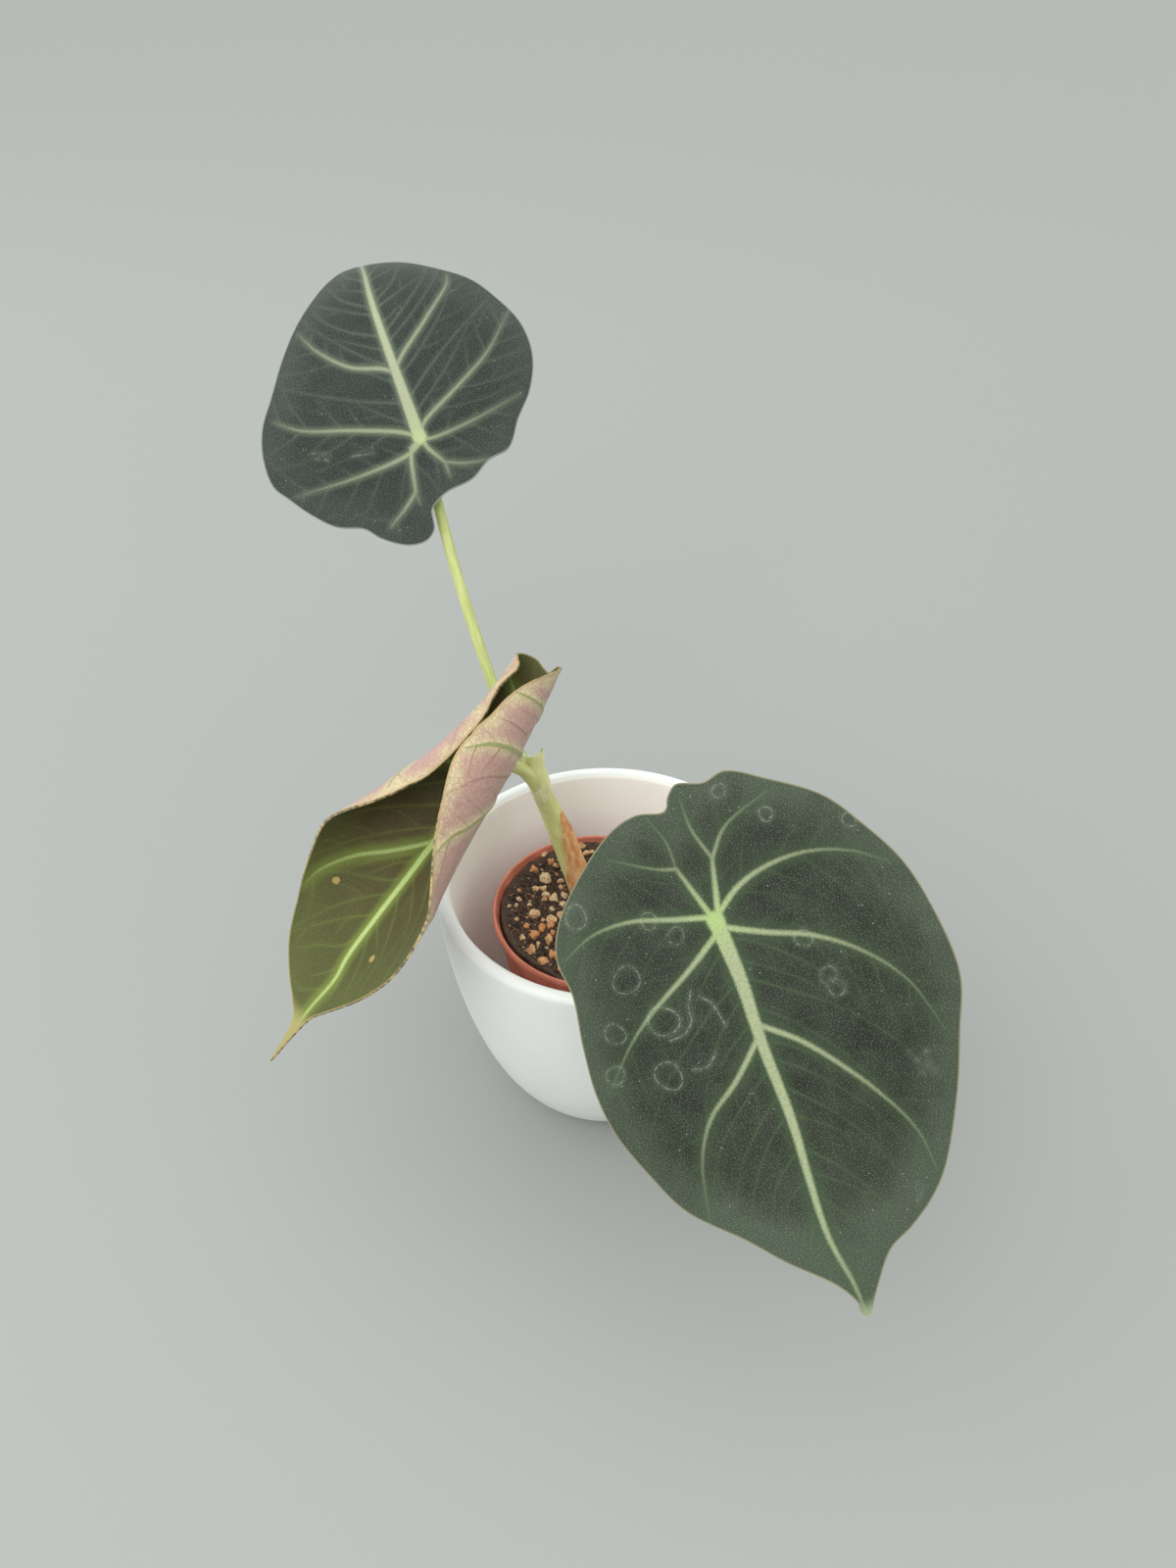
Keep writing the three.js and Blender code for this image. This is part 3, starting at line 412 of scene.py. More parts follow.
# Finishes of the leaves
def line_distance(tree, attribute):
    """Millimetres to the nearest line that an attribute holds, and what is stored with that line.

    The attribute's X is the distance with a sign for the side, and its Y without. Between vertices on
    both sides of a line X passes through 0, and Y keeps X from doing so halfway between two lines. Y
    alone holds where X has no side."""
    stored = add(tree, "Attribute", out="Vector", attribute_name=attribute)
    signed, plain, value = add(tree, "SeparateXYZ", [stored]).node.outputs
    side = add(tree, "Math", [signed], operation="ABSOLUTE")
    far = add(tree, "Math", [plain, VEIN_GATE], operation="SUBTRACT")
    nearest = add(tree, "Math", [side, far], operation="MAXIMUM")
    return add(tree, "Math", [nearest, plain], operation="MINIMUM"), value


# Upper faces: colours from the base of the blade to its tip, and the tip's place, how far the glow beside a
# vein reaches and the half width of a vein at full strength, in millimetres. The rest are shares.
VELVET_FRONT = {
    "name": "velvet_cuticle_dark", "deep": 0x1D2218, "base": 0x1D2218, "grey": 0x434D3F, "halo": 0x3C5035,
    "vein": 0x959E7B, "fine": 0x465A3B, "hub": 0x9DBB66, "margin": 0x8A8566, "dust_and_glint": 0x969D8D,
    "tip": 0x8E9B78, "tip_from": 83.0, "halo_reach": 2.8, "halo_share": 0.5, "bold": 0.75, "painted_sheen_tipward": 0.5,
    "rings": 0.42, "spots": 0.0,
}
VELVET_UPPER = {
    "name": "velvet_cuticle_grey", "deep": 0x242925, "base": 0x242925, "grey": 0x3A413C, "halo": 0x74826A,
    "vein": 0x9CA184, "fine": 0x5A645A, "hub": 0xA9BE7E, "margin": 0x8B9088, "dust_and_glint": 0x969D8D,
    "tip": 0x8E9B78, "tip_from": 110.0, "halo_reach": 1.6, "halo_share": 0.45, "bold": 0.95, "painted_sheen_tipward": 0.2,
    "rings": 0.4, "spots": 0.0,
}
# The young leaf's olive greens are partly its own colour and partly a painted glow of light shining through
# its thin blade
VELVET_YOUNG = {
    "name": "velvet_cuticle_young", "deep": 0x464925, "base": 0x473A26, "grey": 0x52552F, "halo": 0x74833C,
    "vein": 0xA9BD78, "fine": 0x66753A, "hub": 0xA7CF5A, "margin": 0x9A8E62, "dust_and_glint": 0x8C8B60,
    "tip": 0x928C5A, "tip_from": 79.0, "halo_reach": 3.2, "halo_share": 0.7, "bold": 1.0, "painted_sheen_tipward": 0.0,
    "rings": 0.0, "spots": 0.8,
}
FINE_SHARE = 0.42
DOME_HEIGHT = 0.08


def velvet_face(look):
    """Upper face of a leaf: a cuticle of tiny domes, which looks like velvet, with pale veins in it.

    The domes are drawn at 0.3 mm, which is coarser than they are, so that they show."""
    material, tree, shader = start_material(look["name"])
    place = add(tree, "UVMap", uv_map="flat")
    along = add(tree, "SeparateXYZ", [place])
    middle = add(tree, "VectorMath", [place], "Value", operation="LENGTH")
    margin = add(tree, "Attribute", out="Fac", attribute_name="margin")
    domes = add(tree, "TexNoise", {"Vector": place, "Scale": per_mm(0.3), "Detail": 1.0})
    fringe = add(tree, "TexNoise", {"Vector": place, "Scale": per_mm(0.35)})

    # Main veins: a pale core with a frayed edge in a green glow, fainter where the vein is thin
    vein, width = line_distance(tree, "vein")
    beyond = add(tree, "Math", [vein, width], operation="SUBTRACT")
    bold = add(tree, "MapRange", [width, 0.1, look["bold"], 0.15])
    frayed = add(tree, "Math", [fringe, 0.9, beyond], operation="MULTIPLY_ADD")
    solid = add(tree, "MapRange", [frayed, 0.75, -0.1], **EASED)
    core = add(tree, "Math", [solid, bold], operation="MULTIPLY")
    glow = add(tree, "MapRange", [beyond, look["halo_reach"], -0.2, 0.0, look["halo_share"]], **EASED)
    glow_bold = add(tree, "Math", [bold, 0.5], operation="POWER")

    # Small veins, which stop short of the main ones
    fine, strength = line_distance(tree, "fine")
    clear = add(tree, "MapRange", [beyond, 0.0, 0.8], **EASED)
    thread = add(tree, "MapRange", [fine, 0.5, 0.0, 0.0, FINE_SHARE], **EASED)
    lit_thread = add(tree, "Math", [thread, strength], operation="MULTIPLY")
    fine_mask = add(tree, "Math", [lit_thread, clear], operation="MULTIPLY")
    fine_glow = add(tree, "MapRange", [fine, 1.3, 0.0, 0.0, 0.1], **EASED)

    # The field between them: greyer in broad soft patches, and towards the margin and tip as painted sheen
    patches = add(tree, "TexNoise", {"Vector": place, "Scale": per_mm(8.0), "Detail": 4.0, "Roughness": 0.6})
    broad = add(tree, "MapRange", [patches, 0.3, 0.7, 0.0, 0.4])
    # Painted sheen: greyer towards the margin here and towards the tip below
    outer = add(tree, "MapRange", [margin, 13.0, 0.0, 0.0, 0.6], **EASED)
    painted_sheen_tipward = add(tree, "MapRange", [along, 45 * MM, 75 * MM, 0.0, look["painted_sheen_tipward"]], **EASED)
    greyer = add(tree, "Math", [broad, outer], operation="ADD")
    grey = add(tree, "Math", [greyer, painted_sheen_tipward], operation="ADD", use_clamp=True)
    near_base = add(tree, "MapRange", [along, 70 * MM, 25 * MM], **EASED)
    # Painted shade in the pits between the domes, and painted glints on their tops in the colour of dust
    painted_pit_shade = add(tree, "MapRange", [domes, 0.46, 0.34, 0.0, 0.4], **EASED)
    glints = add(tree, "MapRange", [domes, 0.54, 0.7, 0.0, 0.22], **EASED)

    # The veins' own colour: greener towards the stalk, and mottled
    streaks = add(tree, "TexNoise", {"Vector": place, "Scale": per_mm(0.7), "Detail": 3.0, "Roughness": 0.7})
    mottle = add(tree, "MapRange", [streaks, 0.6, 0.36, 0.0, 0.22], **EASED)
    sap = add(tree, "MapRange", [middle, 11 * MM, 1 * MM, 0.0, 0.3], **EASED)
    vein_colour = layered(tree, look["vein"], [(look["hub"], sap), (look["halo"], mottle)])
    hub = add(tree, "MapRange", [middle, 3 * MM, 0.2 * MM, 0.0, 0.35], **EASED)
    tip = add(tree, "MapRange", [along, look["tip_from"] * MM, (look["tip_from"] + 5) * MM], **EASED)

    # Specks of dust, fewer in some places than in others and on the veins
    specks = add(tree, "TexVoronoi", {"Vector": place, "Scale": per_mm(1.5)}).node.outputs
    speck = add(tree, "MapRange", [specks["Distance"], 0.13, 0.05], **EASED)
    chance = add(tree, "SeparateColor", [specks["Color"]])
    crowd = add(tree, "TexNoise", {"Vector": place, "Scale": per_mm(11.0)})
    likely = add(tree, "MapRange", [crowd, 0.64, 0.42, 0.32, 0.04], **EASED)
    chosen = add(tree, "Math", [chance, likely], operation="LESS_THAN")
    off_vein = add(tree, "Math", [core, -0.7, 0.7], operation="MULTIPLY_ADD")

    layers = [
        (look["base"], near_base),
        (look["grey"], grey),
        # Painted shade in the pits and painted glints on the domes
        (0x1A2118, painted_pit_shade),
        (look["dust_and_glint"], glints),
        (look["halo"], fine_glow, strength),
        (look["fine"], fine_mask),
        (look["halo"], glow, glow_bold),
        (vein_colour, core),
        (look["hub"], hub),
        (look["tip"], tip),
        (look["dust_and_glint"], speck, chosen, off_vein),
    ]

    # The broken rings that dried water drops leave, with a stain in them, and small dead spots
    mark, mark_strength = line_distance(tree, "marks")
    broken = add(tree, "TexNoise", {"Vector": place, "Scale": per_mm(0.7)})
    if look["rings"]:
        ring = add(tree, "MapRange", [mark, 0.22, 0.02, 0.0, look["rings"]], **EASED)
        gaps = add(tree, "MapRange", [broken, 0.62, 0.38], **EASED)
        stain = add(tree, "MapRange", [mark, 1.2, 0.2, 0.0, 0.12], **EASED)
        layers += [(0xB4BCAA, ring, gaps, mark_strength), (0x7F8A76, stain, mark_strength)]
    if look["spots"]:
        ragged = add(tree, "Math", [mark, broken], operation="ADD")
        layers.append((0xA58F5A, add(tree, "MapRange", [ragged, 1.35, 1.0, 0.0, look["spots"]], **EASED)))
    layers.append((look["margin"], add(tree, "MapRange", [margin, 0.45, 0.12, 0.0, 0.75], **EASED)))

    grain = add(tree, "Math", [core, fringe, domes], operation="MULTIPLY_ADD")
    height = add(tree, "Math", [grain, fine_mask], operation="SUBTRACT")
    fill(tree, shader, {
        "Base Color": layered(tree, look["deep"], layers),
        "Normal": add(tree, "Bump", {"Height": height, "Distance": DOME_HEIGHT * MM, "Strength": 0.9}),
        "Roughness": 0.66,
        "IOR": 1.42,
        "Specular IOR Level": 0.2,
        "Sheen Weight": 0.06,
        "Sheen Roughness": 0.4,
        "Sheen Tint": linear(0xD5DDD2),
    })
    return material


UNDER_YOUNG = {
    "name": "leaf_underside_mauve", "field": 0xAD8B80, "pale": 0xBFB28C, "vein": 0x868A55,
    "fine": 0x84644F, "margin": 0xA58C62,
}
UNDER_DARK = {
    "name": "leaf_underside_green", "field": 0x7F8C77, "pale": 0x95A084, "vein": 0xB3C184,
    "fine": 0x6C7A64, "margin": 0x8B8B68,
}


def leaf_underside(look):
    """Lower face of a leaf: smooth skin with raised veins and a fine net between them."""
    material, tree, shader = start_material(look["name"])
    place = add(tree, "UVMap", uv_map="flat")
    margin = add(tree, "Attribute", out="Fac", attribute_name="margin")
    vein, width = line_distance(tree, "vein")
    beyond = add(tree, "Math", [vein, width], operation="SUBTRACT")
    fine, strength = line_distance(tree, "fine")
    patches = add(tree, "TexNoise", {"Vector": place, "Scale": per_mm(9.0), "Detail": 4.0, "Roughness": 0.6})
    wander = add(tree, "Math", [patches, 14.0, margin], operation="MULTIPLY_ADD")
    outer = add(tree, "MapRange", [wander, 12.0, 6.0], **EASED)
    beside = add(tree, "MapRange", [beyond, 2.6, 0.0, 0.0, 0.8], **EASED)
    fibres = add(tree, "TexNoise", {"Vector": place, "Scale": per_mm(0.5), "Detail": 3.0, "Roughness": 0.7})
    fibre = add(tree, "MapRange", [fibres, 0.52, 0.38, 0.0, 0.3], **EASED)
    cells = add(tree, "TexVoronoi", {"Vector": place, "Scale": per_mm(1.5)}, feature="DISTANCE_TO_EDGE")
    net = add(tree, "MapRange", [cells, 0.12, 0.02], **EASED)
    thread = add(tree, "MapRange", [fine, 0.4, 0.1], **EASED)
    fine_mask = add(tree, "Math", [thread, strength], operation="MULTIPLY")
    core = add(tree, "MapRange", [beyond, 0.15, -0.15], **EASED)
    edge = add(tree, "MapRange", [margin, 0.9, 0.25, 0.0, 0.8], **EASED)
    pores = add(tree, "TexNoise", {"Vector": place, "Scale": per_mm(0.4)})
    height = 0.0
    for part, rise in ((net, 0.08), (fine_mask, 0.18), (pores, 0.05)):
        height = add(tree, "Math", [part, rise, height], operation="MULTIPLY_ADD")
    fill(tree, shader, {
        "Base Color": layered(tree, look["field"], [
            (look["pale"], outer),
            (look["pale"], beside),
            (look["fine"], fibre),
            (look["fine"], net, 0.24),
            (look["fine"], fine_mask, 0.85),
            (look["vein"], core),
            (look["margin"], edge),
        ]),
        "Normal": add(tree, "Bump", {"Height": height, "Distance": 1.0 * MM, "Strength": 0.8}),
        "Roughness": 0.5,
        "IOR": 1.42,
        "Specular IOR Level": 0.4,
        "Sheen Weight": 0.15,
    })
    return material


def leaf_margin(name, colour):
    """Rim of a blade: a dry pale edge with fine wear."""
    material, tree, shader = start_material(name)
    place = add(tree, "UVMap", uv_map="flat")
    patches = add(tree, "TexNoise", {"Vector": place, "Scale": per_mm(1.2), "Detail": 3.0})
    wear = add(tree, "MapRange", [patches, 0.35, 0.65], **EASED)
    fill(tree, shader, {"Base Color": layered(tree, colour, [(0x5C5540, wear)]), "Roughness": 0.6})
    return material


# Finishes of stalks, soil and pots
def stalk_skin(name, light, deep, foot, dry_above=ABOVE_ALL):
    """Fleshy stalk: a smooth waxy green skin with fine lengthwise streaks, paler towards its foot.

    Above a height it can have a dry brown edge."""
    material, tree, shader = start_material(name)
    body = add(tree, "TexCoord", out="Object")
    height = add(tree, "SeparateXYZ", [body], "Z")
    place = add(tree, "UVMap", uv_map="skin")
    drawn = add(tree, "Mapping", {"Vector": place, "Scale": (1.0, 0.07, 1.0)})
    streaks = add(tree, "TexNoise", {"Vector": drawn, "Scale": per_mm(0.5), "Detail": 3.0, "Roughness": 0.6})
    freckles = add(tree, "TexNoise", {"Vector": place, "Scale": per_mm(0.45), "Detail": 1.0})
    clouds = add(tree, "TexNoise", {"Vector": body, "Scale": per_mm(9.0)})
    dry = add(tree, "MapRange", [height, dry_above * MM, (dry_above + 0.6) * MM, 0.0, 0.8], **EASED)
    fill(tree, shader, {
        "Base Color": layered(tree, light, [
            (deep, add(tree, "MapRange", [streaks, 0.38, 0.62], **EASED)),
            (deep, add(tree, "MapRange", [clouds, 0.4, 0.6, 0.0, 0.35], **EASED)),
            (light, add(tree, "MapRange", [freckles, 0.3, 0.42, 0.0, 0.35], **EASED)),
            (foot, add(tree, "MapRange", [height, 84 * MM, 60 * MM, 0.0, 0.6], **EASED)),
            (0x8C6A42, dry),
        ]),
        "Normal": add(tree, "Bump", {"Height": streaks, "Distance": 0.12 * MM, "Strength": 0.6}),
        "Roughness": 0.42,
        "IOR": 1.4,
        "Subsurface Weight": 0.25,
        "Subsurface Radius": (0.6, 1.0, 0.3),
        "Subsurface Scale": 1.2 * MM,
    })
    return material


def papery_sheath():
    """Dried sheath: thin brown parchment with lengthwise fibres and darker dead patches."""
    material, tree, shader = start_material("dried_sheath_parchment")
    place = add(tree, "UVMap", uv_map="skin")
    drawn = add(tree, "Mapping", {"Vector": place, "Scale": (1.0, 0.1, 1.0)})
    fibres = add(tree, "TexNoise", {"Vector": drawn, "Scale": per_mm(0.45), "Detail": 3.0, "Roughness": 0.7})
    patches = add(tree, "TexNoise", {"Vector": place, "Scale": per_mm(4.5), "Detail": 3.0})
    fill(tree, shader, {
        "Base Color": layered(tree, 0xD19058, [
            (0xDFB382, add(tree, "MapRange", [patches, 0.6, 0.4], **EASED)),
            (0xA96B3C, add(tree, "MapRange", [fibres, 0.46, 0.34, 0.0, 0.6], **EASED)),
        ]),
        "Normal": add(tree, "Bump", {"Height": fibres, "Distance": 0.35 * MM, "Strength": 0.9}),
        "Roughness": 0.68,
        "Subsurface Weight": 0.15,
        "Subsurface Scale": 0.8 * MM,
    })
    return material


def rhizome_bark():
    """Corky underground stem: brown bark with rough rings."""
    material, tree, shader = start_material("rhizome_bark")
    body = add(tree, "TexCoord", out="Object")
    flattened = add(tree, "Mapping", {"Vector": body, "Scale": (0.2, 0.2, 1.0)})
    rings = add(tree, "TexNoise", {"Vector": flattened, "Scale": per_mm(1.6), "Detail": 4.0})
    ridge = add(tree, "MapRange", [rings, 0.4, 0.6], **EASED)
    fill(tree, shader, {
        "Base Color": layered(tree, 0xA07A50, [(0x5A4028, ridge)]),
        "Normal": add(tree, "Bump", {"Height": rings, "Distance": 0.6 * MM}),
        "Roughness": 0.85,
    })
    return material


def potting_mix():
    """Damp peat and bark fines: near black, crumbly, with a few brown fibres."""
    material, tree, shader = start_material("damp_potting_mix")
    body = add(tree, "TexCoord", out="Object")
    crumbs = add(tree, "TexNoise", {"Vector": body, "Scale": per_mm(1.1), "Detail": 5.0, "Roughness": 0.65})
    tint = add(tree, "TexNoise", {"Vector": body, "Scale": per_mm(3.5)})
    fill(tree, shader, {
        "Base Color": layered(tree, 0x4B3D33, [
            (0x17120F, add(tree, "MapRange", [crumbs, 0.36, 0.6], **EASED)),
            (0x5B4433, add(tree, "MapRange", [tint, 0.3, 0.4, 0.0, 0.5], **EASED)),
        ]),
        "Normal": add(tree, "Bump", {"Height": crumbs, "Distance": 0.8 * MM}),
        "Roughness": add(tree, "MapRange", [crumbs, 0.5, 0.66, 0.92, 0.55], **EASED),
    })
    return material


def pumice():
    """Pumice grit: chalky, pitted, cream, some of it stained orange by the damp mix."""
    material, tree, shader = start_material("pumice_grit")
    body = add(tree, "TexCoord", out="Object")
    stain = add(tree, "Attribute", out="Fac", attribute_name="stain")
    blotch = add(tree, "TexNoise", {"Vector": body, "Scale": per_mm(1.4), "Detail": 3.0})
    cells = add(tree, "TexVoronoi", {"Vector": body, "Scale": per_mm(0.55)})
    pit = add(tree, "MapRange", [cells, 0.4, 0.15], **EASED)
    height = add(tree, "Math", [pit, -0.5, blotch], operation="MULTIPLY_ADD")
    fill(tree, shader, {
        "Base Color": layered(tree, 0xD3BE96, [
            (0xC6854F, stain),
            (0xA8703F, add(tree, "MapRange", [blotch, 0.56, 0.42, 0.0, 0.4], **EASED)),
            (0x7A5A3C, pit, 0.22),
        ]),
        "Normal": add(tree, "Bump", {"Height": height, "Distance": 0.5 * MM}),
        "Roughness": 0.88,
    })
    return material


def red_plastic():
    """Moulded polypropylene nursery pot: brick red, fine satin grain, a painted highlight on its rim's top.
    """
    material, tree, shader = start_material("moulded_polypropylene_red")
    body = add(tree, "TexCoord", out="Object")
    height = add(tree, "SeparateXYZ", [body], "Z")
    satin = add(tree, "TexNoise", {"Vector": body, "Scale": per_mm(0.35)})
    clouds = add(tree, "TexNoise", {"Vector": body, "Scale": per_mm(7.0), "Detail": 3.0})
    fill(tree, shader, {
        "Base Color": layered(tree, 0xC2705C, [
            (0xA85A4A, add(tree, "MapRange", [clouds, 0.4, 0.62], **EASED)),
            # Painted highlight along the top of the rim
            (0xCF8266, add(tree, "MapRange", [height, 60.5 * MM, 62.8 * MM, 0.0, 0.45])),
        ]),
        "Normal": add(tree, "Bump", {"Height": satin, "Distance": 0.06 * MM, "Strength": 0.6}),
        "Roughness": 0.5,
        "IOR": 1.49,
        "Subsurface Weight": 0.08,
        "Subsurface Scale": 1.0 * MM,
    })
    return material


def matt_glaze():
    """Matt glazed stoneware: soft white with a dipped glaze's faint waviness; whiter inside as painted light.
    """
    material, tree, shader = start_material("matt_white_glaze")
    body = add(tree, "TexCoord", out="Object")
    normal = add(tree, "NewGeometry", out="Normal")
    outward = add(tree, "VectorMath", [body, normal], "Value", operation="DOT_PRODUCT")
    waves = add(tree, "TexNoise", {"Vector": body, "Scale": per_mm(14.0)})
    skin = add(tree, "TexNoise", {"Vector": body, "Scale": per_mm(0.6)})
    height = add(tree, "Math", [waves, 2.0, skin], operation="MULTIPLY_ADD")
    fill(tree, shader, {
        "Base Color": layered(tree, 0xDADDD9, [
            (0xD8DBD7, add(tree, "MapRange", [waves, 0.4, 0.6], **EASED)),
            # Painted light: whiter on the inside faces, greyer on the outside
            (0xF8F6F0, add(tree, "MapRange", [outward, 0.01, -0.01], **EASED)),
        ]),
        "Normal": add(tree, "Bump", {"Height": height, "Distance": 0.015 * MM, "Strength": 0.4}),
        "Roughness": add(tree, "MapRange", [skin, 0.0, 1.0, 0.38, 0.52]),
        "IOR": 1.5,
    })
    return material


# Making meshes
def only(piece):
    """Selects one object and nothing else."""
    bpy.ops.object.select_all(action="DESELECT")
    piece.select_set(True)
    bpy.context.view_layer.objects.active = piece


def paint(piece, material):
    """Gives a piece one material and no other."""
    piece.data.materials.clear()
    piece.data.materials.append(material)


def finish_piece(piece, name, node, angle=45):
    """Names a piece, smooths it and puts it in the frame in place of its CAD node."""
    piece.name = name
    piece.data.name = name
    only(piece)
    bpy.ops.object.shade_smooth_by_angle(angle=math.radians(angle))
    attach(piece, "root")
    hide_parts(node)


def coordinates(mesh):
    """Places of the vertices, in metres."""
    places = np.empty(len(mesh.vertices) * 3)
    mesh.vertices.foreach_get("co", places)
    return places.reshape(-1, 3)


def move_vertices(mesh, places):
    """Puts the vertices at places given in millimetres."""
    mesh.vertices.foreach_set("co", (places * MM).ravel())
    mesh.update()


def attribute_values(mesh, name):
    """What a vertex attribute holds: one number or one row of three for each vertex."""
    stored = mesh.attributes[name]
    wide = 3 if stored.data_type == "FLOAT_VECTOR" else 1
    values = np.empty(len(mesh.vertices) * wide, np.float32)
    stored.data.foreach_get("vector" if wide == 3 else "value", values)
    return values.reshape(-1, 3).astype(float) if wide == 3 else values.astype(float)


def store(mesh, name, kind, values):
    """Keeps a number or a row of three for each vertex under a name."""
    field = mesh.attributes.new(name, kind, "POINT")
    channel = "vector" if kind == "FLOAT_VECTOR" else "value"
    field.data.foreach_set(channel, np.ascontiguousarray(values, dtype=np.float32).ravel())


def store_uv(mesh, name, values):
    """A UV map from one pair of values for each vertex."""
    layer = mesh.uv_layers.new(name=name)
    corners = np.empty(len(mesh.loops), dtype=np.int32)
    mesh.loops.foreach_get("vertex_index", corners)
    layer.data.foreach_set("uv", np.ascontiguousarray(values[corners], dtype=np.float32).ravel())


def grid(columns, rows):
    """A flat grid to bend into shape, and each vertex's share across and up it."""
    bpy.ops.object.select_all(action="DESELECT")
    bpy.ops.mesh.primitive_grid_add(x_subdivisions=columns, y_subdivisions=rows, size=2)
    piece = bpy.context.object
    shares = (coordinates(piece.data)[:, :2] + 1) / 2
    while piece.data.uv_layers:
        piece.data.uv_layers.remove(piece.data.uv_layers[0])
    return piece, shares[:, 0], shares[:, 1]


def close_up(piece, fill_ends=True):
    """Merges what meets, closes open ends where asked and turns the faces outwards."""
    only(piece)
    bpy.ops.object.mode_set(mode="EDIT")
    bpy.ops.mesh.select_all(action="SELECT")
    bpy.ops.mesh.remove_doubles(threshold=MERGE_GAP * MM)
    if fill_ends:
        bpy.ops.mesh.fill_holes(sides=0)
    bpy.ops.mesh.select_all(action="SELECT")
    bpy.ops.mesh.normals_make_consistent(inside=False)
    bpy.ops.object.mode_set(mode="OBJECT")


def thicken(piece, thickness, **settings):
    """Turns a sheet into a thin shell, half of its thickness to each side."""
    only(piece)
    shell = piece.modifiers.new("thickness", "SOLIDIFY")
    shell.thickness = thickness * MM
    shell.offset = 0.0
    for name, value in settings.items():
        setattr(shell, name, value)
    bpy.ops.object.modifier_apply(modifier=shell.name)


def through(points, closed, per_span):
    """Smooth curve through points: its places, per_span of them for each span between two points."""
    points = np.asarray(points, float)
    count = len(points)
    spans = count if closed else count - 1
    made = []
    for i in range(spans):
        if closed:
            p0, p1, p2, p3 = (points[(i + k) % count] for k in (-1, 0, 1, 2))
        else:
            p1, p2 = points[i], points[i + 1]
            p0 = points[i - 1] if i else 2 * p1 - p2
            p3 = points[i + 2] if i + 2 < count else 2 * p2 - p1
        gaps = [max(np.linalg.norm(b - a), 1e-6) ** 0.5 for a, b in ((p0, p1), (p1, p2), (p2, p3))]
        leave = ((p1 - p0) / gaps[0] - (p2 - p0) / (gaps[0] + gaps[1]) + (p2 - p1) / gaps[1]) * gaps[1]
        arrive = ((p2 - p1) / gaps[1] - (p3 - p1) / (gaps[1] + gaps[2]) + (p3 - p2) / gaps[2]) * gaps[1]
        t = (np.arange(per_span) / per_span)[:, None]
        made.append(p1 + leave * t + (3 * (p2 - p1) - 2 * leave - arrive) * t ** 2
                    + (2 * (p1 - p2) + leave + arrive) * t ** 3)
    if not closed:
        made.append(points[-1:])
    return np.concatenate(made)


def spread(values, share):
    """Value of evenly spaced numbers at a share of the way through them."""
    return np.interp(share, np.linspace(0, 1, len(values)), values)


# Leaves
def leaf_frame(leaf):
    """Directions at the stalk: along the midrib, up from the blade, and across it."""
    forward = np.array(leaf["along"]) / np.linalg.norm(leaf["along"])
    up = np.array(leaf["up"]) - forward * np.dot(leaf["up"], forward)
    up /= np.linalg.norm(up)
    return forward, up, np.cross(forward, up)


def leaf_surface(leaf):
    """The bent blade: a function from flat places u and v to places in space."""
    forward, up, right = leaf_frame(leaf)
    first, last = MIDRIB_STRETCH
    bend = np.interp(np.arange(first, last) + 0.5, *np.transpose(leaf["bend"]))
    turned = np.concatenate([[0], np.cumsum(bend)])
    middle = turned[:-1] + bend / 2
    ahead = np.concatenate([[0], np.cumsum(np.cos(middle))])
    down = np.concatenate([[0], np.cumsum(np.sin(middle))])
    turned, ahead, down = (line - line[-first] for line in (turned, ahead, down))
    start = np.concatenate([[0], np.cumsum(bend)])[-first]
    c, s = math.cos(-start), math.sin(-start)
    ahead, down = ahead * c - down * s, ahead * s + down * c
    at = np.arange(first, last + 1)
    height, count, phase = leaf["wave"]

    def place(u, v):
        angle = np.interp(u, at, turned)[:, None]
        sway = np.arctan(2 * leaf["bow"] * u / BOW_REACH ** 2)[:, None]
        spine = np.array(leaf["attachment"]) + forward * np.interp(u, at, ahead)[:, None]
        spine = spine - up * np.interp(u, at, down)[:, None]
        spine = spine + right * (leaf["bow"] * (u / BOW_REACH) ** 2)[:, None]
        heading = forward * np.cos(angle) - up * np.sin(angle)
        normal = up * np.cos(angle) + forward * np.sin(angle)
        across = right * np.cos(sway) - heading * np.sin(sway)
        lift = height * (u ** 2 + v ** 2) / WAVE_REACH ** 2 * np.sin(count * np.arctan2(v, u) + phase)
        sides = [leaf["minus"], leaf["plus"]]
        opened, curl = (
            np.where(v < 0, *(np.interp(u, *np.transpose(side[key])) for side in sides))
            for key in ("open", "curl")
        )
        rim = np.where(v < 0, *(side["rim"] for side in sides))
        step = np.abs(v) / CROSS_STEPS
        sideways = np.zeros_like(v)
        raised = np.zeros_like(v)
        for k in range(CROSS_STEPS):
            t = step * (k + 0.5)
            tilt = opened + curl * t + rim * t ** 3
            sideways += step * np.cos(tilt)
            raised += step * np.sin(tilt)
        return spine + across * (np.sign(v) * sideways)[:, None] + normal * (raised + lift)[:, None]

    return place


